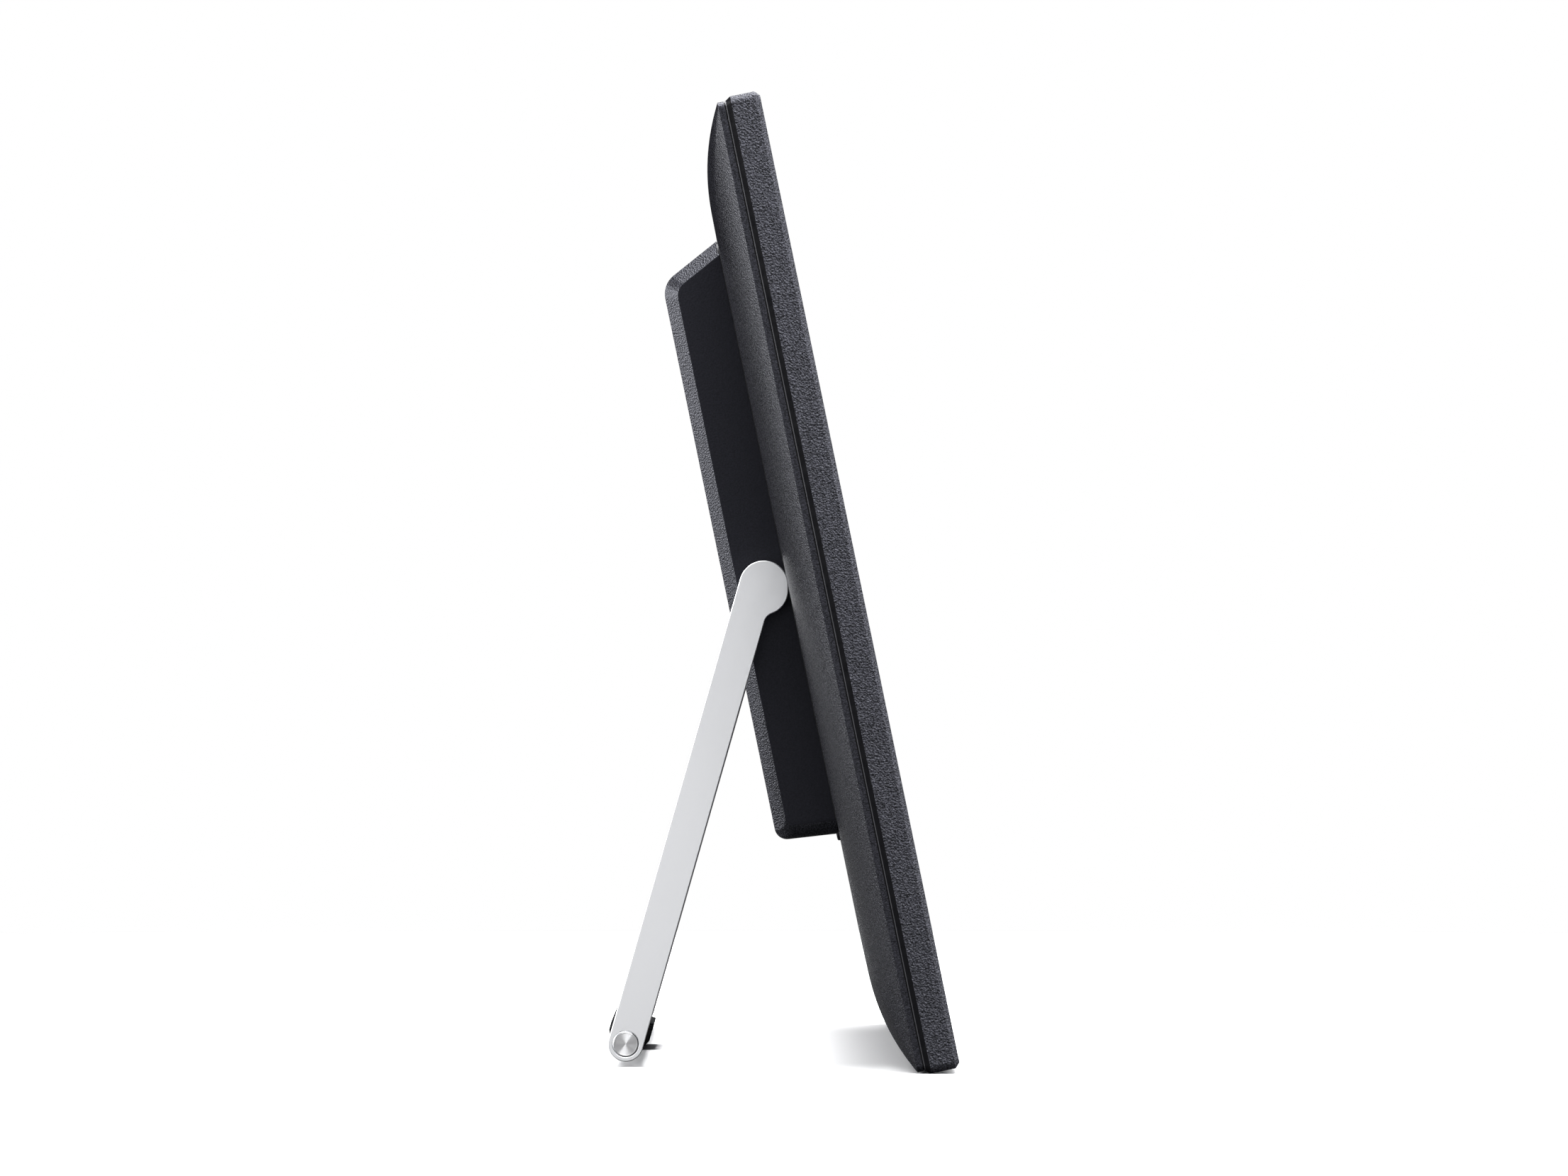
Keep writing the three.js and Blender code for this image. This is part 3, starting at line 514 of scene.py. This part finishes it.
for subpart in frame["record"]["subparts"]:
    cad_node = frame["nodes"][subpart["node"]]
    cad_node.data.materials.clear()
    cad_node.data.materials.append(MATERIALS[subpart["material_slot"]])

# ---------------------------------------------------------------- bezel, glass and pads


def frame_ring(inset, depth, radius):
    return at_depth(rounded_rect(WIDTH - 2 * inset, HEIGHT - 2 * inset, radius), depth)


def opening_ring(width, height, depth, radius=1.5):
    return at_depth(rounded_rect(width, height, radius), depth)


def pad_seat(side):
    """The recess in the bezel's underside for one pad, with a gap all round."""
    inner, outer = sorted((side * PADS["inner"], side * PADS["outer"]))
    gap = PADS["gap"]
    return box((inner - gap, outer + gap), (PADS["front"] - gap, PADS["rear"] + gap), (-1, PADS["top"] + gap))


def make_bezel():
    seat = [GLASS["width"] + 2 * GLASS_SEAT_MARGIN, GLASS["height"] + 2 * GLASS_SEAT_MARGIN]
    window = [SCREEN["width"] + 2 * WINDOW_MARGIN, SCREEN["height"] + 2 * WINDOW_MARGIN]
    inside = [WIDTH - 2 * BEZEL_WALL, HEIGHT - 2 * BEZEL_WALL]
    rings = [
        frame_ring(FRONT_CHAMFER, 0, FRONT_RADIUS),
        frame_ring(0, FRONT_CHAMFER, CORNER_RADIUS),
        frame_ring(0, BEZEL_SIDE_END, CORNER_RADIUS),
        frame_ring(BEZEL_LIP_INSET, BEZEL_LIP_START, BEZEL_LIP_RADIUS),
        frame_ring(BEZEL_LIP_INSET, BEZEL_END, BEZEL_LIP_RADIUS),
        opening_ring(*inside, BEZEL_END),
        opening_ring(*inside, LEDGE_BACK),
        opening_ring(*window, LEDGE_BACK),
        opening_ring(*window, LEDGE_FRONT),
        opening_ring(*seat, LEDGE_FRONT),
        opening_ring(*seat, 0),
    ]
    seats = [pad_seat(side) for _, side in SIDES]
    bezel = piece(
        "bezel_shell", loft(rings, closed=True), BODY, "display_body", MATERIALS["body_plastic"],
        "body_plastic", ["front_bezel"], soft=0.22, cutters=seats,
    )
    # The strip behind the bezel's side is painted near-black: painted shade along the joint, partly a smooth black
    # finish.
    paint(bezel, MATERIALS["smooth_plastic"], lambda point: BEZEL_SIDE_END < point.y < BEZEL_LIP_START)
    # The lip's narrow faces get the lighter finish: a painted highlight line.
    paint(bezel, MATERIALS["lip_highlight_plastic"], lambda point: BEZEL_LIP_START <= point.y < BEZEL_END)


def make_glass():
    edge = 0.35
    rings = [
        opening_ring(GLASS["width"] - 2 * edge, GLASS["height"] - 2 * edge, GLASS["front"]),
        opening_ring(GLASS["width"], GLASS["height"], GLASS["front"] + edge),
        opening_ring(GLASS["width"], GLASS["height"], GLASS["back"]),
    ]
    piece(
        "cover_glass", loft(rings), BODY, "display_body", MATERIALS["screen_glass"],
        "screen_glass", ["front_glass"], soft=0.1,
    )


def make_pads():
    lean = math.atan2(-BODY[2][1], BODY[1][1])
    lift = BODY[2][3] / MM
    front, rear, top = PADS["front"], PADS["rear"], PADS["top"]
    underside = [(y, (y * math.sin(lean) - lift) / math.cos(lean)) for y in (front, rear)]
    outline = [(front, top), *underside, (rear, top)]
    for name, side in SIDES:
        inner, outer = sorted((side * PADS["inner"], side * PADS["outer"]))
        piece(
            f"pad_{name}", prism(at_x, outline, inner, outer), BODY, "display_body",
            MATERIALS["black_rubber"], "black_rubber", [f"foot_pad_{name}"], soft=0.25,
        )


# ---------------------------------------------------------------- rear cover and buttons


def make_seam():
    """An inner ring that closes the joint between bezel and rear cover, just below the surface; it is near-black
    as painted shade inside the joint.
    """
    front = BEZEL_LIP_START - 0.6
    back = COVER_RIM - 1.2
    outer_inset = BEZEL_LIP_INSET + 0.55
    inner_inset = COVER_INSET + WALL + 0.4
    outer = [frame_ring(outer_inset, depth, 1.6) for depth in (front, back)]
    inner = [frame_ring(inner_inset, depth, 0.8) for depth in (back, front)]
    piece(
        "seam_ring", loft(outer + inner, closed=True), BODY, "display_body",
        MATERIALS["smooth_plastic"], "black_moulding",
    )


BUTTON_X = 213
BUTTON_GAP = 0.4
BUTTON_FOOT = 19
# Each button's height on the body, end radius and straight length.
BUTTONS = {
    "power_button": (150, 4.4, 0),
    "menu_button": (130, 3.4, 6),
    "up_button": (113, 3.4, 6),
    "down_button": (96, 3.4, 6),
    "back_button": (79, 3.4, 6),
}


def pillow_depth(distance):
    share = 1 - (1 - distance / PILLOW_RISE) ** PILLOW_POWER
    return COVER_RIM + (COVER_BACK - COVER_RIM) * share


def button_outline(height, radius, length, margin=0.0):
    reach = radius + margin
    return rounded_rect(2 * reach, 2 * reach + length, reach - 0.001, (BUTTON_X, height), steps=10)


def make_rear_cover():
    shares = [(step / PILLOW_STEPS) ** PILLOW_SPACING for step in range(PILLOW_STEPS + 1)]
    distances = [PILLOW_RISE * share for share in shares]
    outer = [frame_ring(COVER_INSET, COVER_START, COVER_RADIUS)]
    outer += [
        frame_ring(COVER_INSET + d, pillow_depth(d), COVER_RADIUS + COVER_RADIUS_GROWTH * d)
        for d in distances
    ]
    inner = [
        frame_ring(COVER_INSET + WALL + d, pillow_depth(d) - WALL, COVER_RADIUS + COVER_RADIUS_GROWTH * d)
        for d in reversed(distances)
    ]
    inner.append(frame_ring(COVER_INSET + WALL, COVER_START, COVER_RADIUS))
    opening = rounded_rect(*COVER_OPENING["size"], COVER_OPENING["radius"], (0, COVER_OPENING["middle"]))
    middle = [at_depth(opening, COVER_BACK), at_depth(opening, COVER_BACK - WALL)]
    skin = loft(outer + middle + inner, closed=True)
    holes = [prism(at_depth, button_outline(*size, BUTTON_GAP), 18, 26) for size in BUTTONS.values()]
    relief = [HEAD_RELIEF["width"], HEAD_RELIEF["height"], 2]
    for _, side in SIDES:
        hollow = rounded_rect(*relief, (side * HEAD_RELIEF["x"], HEAD_RELIEF["z"]))
        holes.append(prism(at_depth, hollow, HEAD_RELIEF["floor"], COVER_BACK + 1))
    piece(
        "rear_shell", skin, BODY, "display_body", MATERIALS["rear_plastic"], "body_plastic",
        ["rear_cover"], soft=0.2, cutters=holes,
    )


def make_buttons():
    top = COVER_BACK + 1
    for name, (height, radius, length) in BUTTONS.items():
        dome = [(0, top - 0.5), (0.12, top - 0.28), (0.4, top - 0.1), (0.9, top), (2.2, top + 0.02)]
        rings = [at_depth(button_outline(height, radius, length), BUTTON_FOOT)]
        rings += [at_depth(button_outline(height, radius, length, -inset), depth) for inset, depth in dome]
        piece(
            name.replace("_button", "_key_cap"), loft(rings), BODY, name.replace("_button", "_key"),
            MATERIALS["black_moulding"], "black_moulding", [name], soft=0.05, angle=40,
        )


# ---------------------------------------------------------------- electronics housing

SCREWS = [(-175, 105), (175, 105), (-175, 250), (175, 250)]
SCREW_WELL = {"radius": 3.6, "depth": 1.3}
MOUNT_HOLES = {"offset": 50, "radius": 2.6, "depth": 3}
VENTS = {"count": 31, "pitch": 9, "half_width": 1.6, "front": 28, "back": 36.5, "bottom": 262, "top": 292}
GRILLES = {"count": 8, "pitch": 5, "half_width": 1.1, "front": 28, "back": 38, "bottom": 80, "top": 88.5}
GRILLE_X = 140
HINGE_HOLE = {"radius": 7, "start": 190, "end": 197}
SOCKET = {"wall": 0.35, "mouth": 86.7, "end": 98, "tongue_half_width": 5.5, "tongue_mouth": 87.6}
PORT_GAP = 0.8
PORT_Y = 31.2
# Each socket's place across the body, width and depth.
PORTS = {
    "dc_jack": (-70, 6.4, 6.4),
    "usb_port_a": (-45, 12.5, 5.12),
    "usb_port_b": (-22, 12.5, 5.12),
    "audio_jack": (0, 3.7, 3.7),
    "card_slot": (30, 25, 2.8),
}
ROUND_PORTS = ("dc_jack", "audio_jack")


def hump_profile(inset, bottom_inset=None):
    bottom_inset = inset if bottom_inset is None else bottom_inset
    back = HUMP_BACK - inset
    depth = back - HUMP_BASE
    bottom = HUMP_BOTTOM + bottom_inset
    top = HUMP_TOP - 1.12 * inset
    return filleted_polygon([
        (HUMP_BASE, bottom, 0),
        (back, bottom + HUMP_BOTTOM_SLOPE * depth, 4.2 - 0.3 * inset),
        (back, top + HUMP_TOP_SLOPE * depth, 8 - 0.6 * inset),
        (HUMP_BASE, top, 0),
    ])


def hump_skin(wall):
    """The housing's rings from the left end to the right: chamfered edges, but a round lower edge."""
    steps = 8
    stations = []
    for step in range(steps + 1):
        angle = math.pi / 2 * step / steps
        reach = HUMP_CHAMFER * math.cos(angle)
        x = HUMP_HALF_WIDTH - HUMP_CHAMFER - wall + reach
        stations.append((x, hump_profile(reach + wall, HUMP_BOTTOM_FILLET * (1 - math.sin(angle)) + wall)))
    rings = [at_x(profile, -x) for x, profile in stations]
    return rings + [at_x(profile, x) for x, profile in reversed(stations)]


def slot_column(x, half_width, front, back, bottom, top):
    """A round-ended slot through a wall, cut along the height."""
    outline = rounded_rect(2 * half_width, back - front, half_width - 0.01, (x, (front + back) / 2), steps=5)
    return prism(at_height, outline, bottom, top)


def slot_row(middle, count, pitch, **slot):
    """Slots side by side, evenly about a middle."""
    return [slot_column(middle + (index - (count - 1) / 2) * pitch, **slot) for index in range(count)]


def port_outline(name, margin):
    x, width, depth = PORTS[name]
    if name in ROUND_PORTS:
        return circle(width / 2 + margin, (x, PORT_Y), 40)
    return rounded_rect(width + 2 * margin, depth + 2 * margin, 0.6, (x, PORT_Y), steps=3)


def housing_cutters():
    cutters = [loft(hump_skin(WALL))]
    cutters.append(box((-188, 188), (HUMP_BASE - 1, HUMP_BASE + 1), (89, 277)))
    for at in SCREWS:
        well = circle(SCREW_WELL["radius"], at, 40)
        cutters.append(prism(at_depth, well, HUMP_BACK - SCREW_WELL["depth"], HUMP_BACK + 1))
    offset = MOUNT_HOLES["offset"]
    for x in (-offset, offset):
        for z in (MIDDLE - offset, MIDDLE + offset):
            hole = circle(MOUNT_HOLES["radius"], (x, z), 32)
            cutters.append(prism(at_depth, hole, HUMP_BACK - MOUNT_HOLES["depth"], HUMP_BACK + 1))
    cutters += slot_row(0, **VENTS)
    for _, side in SIDES:
        cutters += slot_row(side * GRILLE_X, **GRILLES)
    for name in PORTS:
        cutters.append(prism(at_height, port_outline(name, PORT_GAP), 80, 90))
    hinge = BODY.inverted() @ Vector(joints["stand_hinge"]["pos_m"])
    for _, side in SIDES:
        hole = circle(HINGE_HOLE["radius"], (hinge.y, hinge.z), 48)
        ends = sorted((side * HINGE_HOLE["start"], side * HINGE_HOLE["end"]))
        cutters.append(prism(at_x, hole, *ends))
    return cutters


def make_housing():
    housing = piece(
        "housing_shell", loft(hump_skin(0)), BODY, "display_body", MATERIALS["housing_plastic"],
        "housing_plastic", ["electronics_cover"], soft=0.3, cutters=housing_cutters(), angle=32,
    )
    # All but the housing's end walls take the cover's lighter finish; the end walls stay near-black, partly as
    # painted shade.
    paint(housing, MATERIALS["rear_plastic"], lambda point: abs(point.x) < HUMP_HALF_WIDTH - 0.1)


def make_skirt():
    """The housing's inner rim: it stands on the cover and leaves a thin dark seam all round."""
    height = (HUMP_TOP + HUMP_BOTTOM) / 2
    across = 2 * (HUMP_HALF_WIDTH - SEAM_DEPTH)
    tall = HUMP_TOP - HUMP_BOTTOM - 2 * SEAM_DEPTH
    outer = rounded_rect(across, tall, 5, (0, height))
    inner = rounded_rect(across - 2 * WALL, tall - 2 * WALL, 2.6, (0, height))
    rings = [at_depth(outer, SEAM_FLOOR), at_depth(outer, HUMP_BASE + 0.3)]
    rings += [at_depth(inner, HUMP_BASE + 0.3), at_depth(inner, SEAM_FLOOR)]
    piece(
        "housing_skirt", loft(rings, closed=True), BODY, "display_body", MATERIALS["black_moulding"],
        "housing_plastic", soft=0.1,
    )


def cross(centre, reach, half):
    """A plus-shaped outline: the three corners of one arm, turned four times."""
    outline = []
    corners = [(reach, -half), (reach, half), (half, half)]
    for _ in range(4):
        outline += [(centre[0] + x, centre[1] + z) for x, z in corners]
        corners = [(-z, x) for x, z in corners]
    return outline


def make_screws():
    top = HUMP_BACK - 0.1
    shank = [(1.5, 30), (1.5, top - 1.1)]
    head = [(3.3, top - 1.1), (3.3, top - 0.45), (2.9, top - 0.12), (2.0, top)]
    for index, at in enumerate(SCREWS):
        rings = [at_depth(circle(radius, at, 40), depth) for radius, depth in shank + head]
        recess = [prism(at_depth, cross(at, 1.7, 0.4), top - 0.8, top + 1)]
        piece(
            f"screw_{index + 1}", loft(rings), BODY, "display_body", MATERIALS["hardware_steel"],
            "hardware_steel", [f"cover_screw_{index + 1}"], soft=0.05, cutters=recess,
        )


def make_sockets():
    """Metal shells and contact tongues for the USB sockets, and the pin of the power jack."""
    wall, mouth, end = SOCKET["wall"], SOCKET["mouth"], SOCKET["end"]
    reach = SOCKET["tongue_half_width"]
    for name in ("usb_port_a", "usb_port_b"):
        x, width, depth = PORTS[name]
        shell = [
            at_height(rounded_rect(width + 2 * margin, depth + 2 * margin, 0.6, (x, PORT_Y), steps=3), z)
            for margin, z in ((wall, mouth), (wall, end), (0.0, end), (0.0, mouth))
        ]
        piece(
            name + "_shell", loft(shell, closed=True), BODY, "display_body",
            MATERIALS["hardware_steel"], "hardware_steel", [name], soft=0.08,
        )
        tongue = box((x - reach, x + reach), (PORT_Y + 0.2, PORT_Y + 2.0), (SOCKET["tongue_mouth"], end))
        piece(
            name + "_tongue", tongue, BODY, "display_body", MATERIALS["black_moulding"],
            "black_moulding", soft=0.2,
        )
    x = PORTS["dc_jack"][0]
    pin = [at_height(circle(r, (x, PORT_Y), 24), z) for r, z in ((0.3, 87.4), (0.9, 88.2), (0.9, 96))]
    piece(
        "dc_jack_pin", loft(pin), BODY, "display_body", MATERIALS["hardware_steel"],
        "hardware_steel", soft=0.05,
    )


# ---------------------------------------------------------------- stand


def arm_outline(inset):
    """The arm's outline, drawn in by an inset, with as many points whatever the inset."""
    lobe = Vector(HEAD_LOBE)
    flank = math.atan2(lobe.y, lobe.x) - math.pi / 2
    neck_y = ARM_OFFSET - ARM_HALF - ARM_NECK_RADIUS
    reach = HEAD_RADIUS + ARM_NECK_RADIUS
    neck_z = lobe.y - math.sqrt(reach**2 - (neck_y - lobe.x) ** 2)
    neck_angle = math.atan2(neck_z - lobe.y, neck_y - lobe.x)
    head = HEAD_RADIUS - inset
    neck = ARM_NECK_RADIUS + inset
    return (
        arc((0, 0), head, 0, flank + 2 * math.pi, 40)
        + arc(lobe, head, flank + 2 * math.pi, neck_angle + 2 * math.pi, 16)
        + arc((neck_y, neck_z), neck, neck_angle + math.pi, 0, 12)
        + arc(FOOT_AXIS, ARM_HALF - inset, math.pi, 2 * math.pi, 40)
    )


def rounded_edge(outer_x, towards, radius, steps=5):
    """(x, inset) pairs of a quarter round from a face onto the side of a plate."""
    pairs = []
    for step in range(steps + 1):
        angle = math.pi / 2 * step / steps
        pairs.append((outer_x + towards * radius * (1 - math.cos(angle)), radius * (1 - math.sin(angle))))
    return pairs


def make_arms():
    for name, side in SIDES:
        outer, inner = side * ARM_OUTER, side * ARM_INNER
        edge = rounded_edge(outer, -side, 0.35)
        back = rounded_edge(inner, side, 0.4, steps=3)
        rings = [at_x(arm_outline(inset), x) for x, inset in edge + back[::-1]]
        bore_profile = [
            (BORE_RADIUS + 0.5, outer + side * 0.35),
            (BORE_RADIUS, outer - side * 0.15),
            (BORE_RADIUS, inner - side),
        ]
        bore = [at_x(circle(radius, FOOT_AXIS, 96), x) for radius, x in bore_profile]
        arm = piece(
            f"arm_{name}", loft(rings), STAND, "stand", MATERIALS["stand_aluminium"],
            "stand_aluminium", [f"stand_arm_{name}"], cutters=[loft(bore)],
        )
        soften(arm, 0.03, angle=35, segments=1)


def make_caps():
    for name, side in SIDES:
        face = side * ARM_OUTER
        rings = [
            at_x(circle(radius, FOOT_AXIS, 96), x)
            for radius, x in (
                (BAR_NECK_RADIUS, face - side * 1.2),
                (BAR_NECK_RADIUS, face - side * 0.22),
                (BAR_NECK_RADIUS - 0.16, face - side * 0.03),
                (BAR_NECK_RADIUS - 0.3, face - side * 0.03),
                (BAR_NECK_RADIUS - 0.36, face - side * 0.1),
            )
        ]
        cap = piece(
            f"cap_{name}", loft(rings), STAND, "stand", MATERIALS["spun_aluminium"],
            "spun_aluminium", [f"end_cap_{name}"], centre=(face, *FOOT_AXIS),
        )
        soften(cap, 0.02, angle=20, segments=1)


def make_cross_bar():
    stations = [
        (BAR_NECK_RADIUS, 200.5), (BAR_NECK_RADIUS, 196.4), (BAR_RADIUS - 0.4, 196.2), (BAR_RADIUS, 195.8),
    ]
    rings = [at_x(circle(radius, FOOT_AXIS, 72), -x) for radius, x in stations]
    rings += [at_x(circle(radius, FOOT_AXIS, 72), x) for radius, x in reversed(stations)]
    piece(
        "foot_bar", loft(rings), STAND, "stand", MATERIALS["stand_aluminium"], "stand_aluminium",
        ["cross_bar"], soft=0.1,
    )


def make_shoe():
    clip = math.acos(SHOE["half_width"] / SHOE["radius"])
    half, rise = SHOE["half_width"], SHOE["rise"]
    seat = BAR_RADIUS + 0.1

    def outline(inset):
        under = arc((0, 0), SHOE["radius"] - inset, -clip, clip - math.pi, 32)
        inner = arc((0, 0), seat + inset, -math.pi, 0, 32)
        sides = [(SHOE["rear_top"] - inset, rise - inset), (half - inset, 0)]
        far_sides = [(inset - half, 0), (inset - half, rise - inset), (-seat - inset, rise - inset)]
        section = sides + under + far_sides + inner + [(seat + inset, rise - inset)]
        return [(y + FOOT_AXIS[0], z + FOOT_AXIS[1]) for y, z in section]

    end, edge = SHOE["half_length"], SHOE["edge"]
    stations = ((-end, edge), (edge - end, 0), (end - edge, 0), (end, edge))
    rings = [at_x(outline(inset), x) for x, inset in stations]
    across = (FOOT_AXIS[0] - half - 1, FOOT_AXIS[0] + half + 1)
    grooves = []
    for level, width in SHOE_GROOVES:
        z = FOOT_AXIS[1] + level
        for face in (-end, end):
            ends = (face - GROOVE_DEPTH, face + GROOVE_DEPTH)
            grooves.append(box(ends, across, (z - width / 2, z + width / 2)))
    piece(
        "rubber_shoe", loft(rings), STAND, "stand", MATERIALS["black_rubber"], "black_rubber",
        ["foot_shoe"], soft=0.12, cutters=grooves,
    )


def make_bushings():
    hinge = BODY.inverted() @ Vector(joints["stand_hinge"]["pos_m"])
    for name, side in SIDES:
        rings = [at_x(circle(radius, (hinge.y, hinge.z), 64), side * x) for radius, x in COLLAR]
        piece(
            f"hinge_collar_{name}", loft(rings, closed=True), BODY, "display_body",
            MATERIALS["black_moulding"], "black_moulding", [f"hinge_bushing_{name}"], soft=0.05,
        )


# ---------------------------------------------------------------- camera, light and floor

# Metres, apart from the lens and the sensor, in millimetres.
CAMERA = {
    "distance": 4.5, "height": 0.1607, "behind_front": 0.05841, "lens": 312.5, "sensor": 36, "reach": 100,
}
# The light that the surroundings give, from one end of an axis to the other: axis, start, end, strengths.
WORLD_SPANS = (("X", -1.0, 0.2, 0.48, 0.0), ("X", -1.0, -0.6, 0.8, 0.0))
# Soft lights: where, how large in metres, and how bright their face looks.
SOFTBOXES = {
    "top": ((-0.1, 0.05, 1.3), (1.2, 1.2), 13.0),
    "key": ((-0.6, -0.42, 0.9), (0.5, 0.5), 14.0),
    "front": ((-0.21, -1.18, 0.5), (0.42, 0.8), 14.0),
    "rear": ((-0.21, 1.18, 0.35), (0.42, 0.7), 13.0),
    "rear_right": ((0.21, 1.18, 0.35), (0.42, 0.7), 8.0),
    "right_fill": ((1.4, -0.4, 1.4), (0.8, 0.8), 8.0),
}
OVERHEAD = {"strength": 0.8, "spread": 60, "towards": (0.3, -0.2, -1)}
LIGHTS_AIM = (0, 0, 0.16)
COOL_LIGHT = (0.98, 0.985, 1.0)
FLOOR_RADIUS = 1.6
FLOOR_BOUNCE = 0.07


def make_camera():
    data = bpy.data.cameras.new("camera")
    data.lens = CAMERA["lens"]
    data.sensor_width = CAMERA["sensor"]
    data.clip_end = CAMERA["reach"]
    camera = bpy.data.objects.new("camera", data)
    near_edge = -WIDTH / 2 * MM
    along = BODY[1][3] + CAMERA["behind_front"]
    camera.location = (near_edge - CAMERA["distance"], along, CAMERA["height"])
    camera.rotation_euler = (math.pi / 2, 0, -math.pi / 2)
    bpy.context.scene.collection.objects.link(camera)
    bpy.context.scene.camera = camera


def softbox(name, location, size, radiance):
    """A rectangular soft light; its power is worked out from how bright its face looks."""
    data = bpy.data.lights.new(name, "AREA")
    data.shape = "RECTANGLE"
    data.size, data.size_y = size
    data.energy = radiance * math.pi * size[0] * size[1]
    data.color = COOL_LIGHT
    lamp = bpy.data.objects.new(name, data)
    lamp.location = location
    towards = Vector(LIGHTS_AIM) - Vector(location)
    lamp.rotation_euler = towards.to_track_quat("-Z", "Y").to_euler()
    bpy.context.scene.collection.objects.link(lamp)


def overhead():
    """An even, very soft light from above that keeps the floor white out to its edge."""
    data = bpy.data.lights.new("overhead", "SUN")
    data.energy = OVERHEAD["strength"]
    data.angle = math.radians(OVERHEAD["spread"])
    lamp = bpy.data.objects.new("overhead", data)
    lamp.rotation_euler = Vector(OVERHEAD["towards"]).to_track_quat("-Z", "Y").to_euler()
    bpy.context.scene.collection.objects.link(lamp)


def make_world():
    """A white backdrop for the camera; the light it gives to all else comes from the left side only."""
    world = bpy.data.worlds.new("studio")
    world.use_nodes = True
    bpy.context.scene.world = world
    nodes, links = world.node_tree.nodes, world.node_tree.links
    glow = nodes["Background"]
    glow.inputs["Color"].default_value = (*COOL_LIGHT, 1)
    source = nodes.new("ShaderNodeTexCoord")
    split = nodes.new("ShaderNodeSeparateXYZ")
    links.new(source.outputs["Generated"], split.inputs["Vector"])
    spans = []
    for axis, start, end, low, high in WORLD_SPANS:
        span = nodes.new("ShaderNodeMapRange")
        span.interpolation_type = "SMOOTHSTEP"
        span.inputs["From Min"].default_value = start
        span.inputs["From Max"].default_value = end
        span.inputs["To Min"].default_value = low
        span.inputs["To Max"].default_value = high
        links.new(split.outputs[axis], span.inputs["Value"])
        spans.append(span)
    total = nodes.new("ShaderNodeMath")
    total.operation = "ADD"
    for index, span in enumerate(spans):
        links.new(span.outputs["Result"], total.inputs[index])
    links.new(total.outputs["Value"], glow.inputs["Strength"])
    backdrop = nodes.new("ShaderNodeBackground")
    path = nodes.new("ShaderNodeLightPath")
    mix = nodes.new("ShaderNodeMixShader")
    links.new(path.outputs["Is Camera Ray"], mix.inputs["Fac"])
    links.new(glow.outputs["Background"], mix.inputs[1])
    links.new(backdrop.outputs["Background"], mix.inputs[2])
    backdrop.inputs["Color"].default_value = (1, 1, 1, 1)
    links.new(mix.outputs["Shader"], nodes["World Output"].inputs["Surface"])


def make_floor():
    """A round pale table top; it and the backdrop are equally white, so its edge doesn't show."""
    rim = [(x, y, 0) for x, y in circle(FLOOR_RADIUS, sides=96)]
    mesh = bpy.data.meshes.new("floor")
    mesh.from_pydata(rim, [], [tuple(range(len(rim)))])
    floor = bpy.data.objects.new("floor", mesh)
    bpy.context.scene.collection.objects.link(floor)
    surface = Surface("floor", (0.9, 0.9, 0.9), 0.7, Specular_IOR_Level=0.0)
    dim = surface.nodes.new("ShaderNodeBsdfDiffuse")
    dim.inputs["Color"].default_value = (FLOOR_BOUNCE, FLOOR_BOUNCE, FLOOR_BOUNCE, 1)
    path = surface.nodes.new("ShaderNodeLightPath")
    mix = surface.nodes.new("ShaderNodeMixShader")
    surface.links.new(path.outputs["Is Camera Ray"], mix.inputs["Fac"])
    surface.links.new(dim.outputs["BSDF"], mix.inputs[1])
    surface.links.new(surface.shader.outputs["BSDF"], mix.inputs[2])
    surface.links.new(mix.outputs["Shader"], surface.nodes["Material Output"].inputs["Surface"])
    mesh.materials.append(surface.material)


def make_studio():
    bpy.context.scene.view_settings.view_transform = "Standard"
    make_world()
    make_floor()
    overhead()
    for name, (location, size, radiance) in SOFTBOXES.items():
        softbox(name, location, size, radiance)


# ---------------------------------------------------------------- make everything

make_camera()
make_bezel()
make_glass()
make_pads()
make_seam()
make_rear_cover()
make_buttons()
make_housing()
make_skirt()
make_screws()
make_sockets()
make_arms()
make_caps()
make_cross_bar()
make_shoe()
make_bushings()
make_studio()
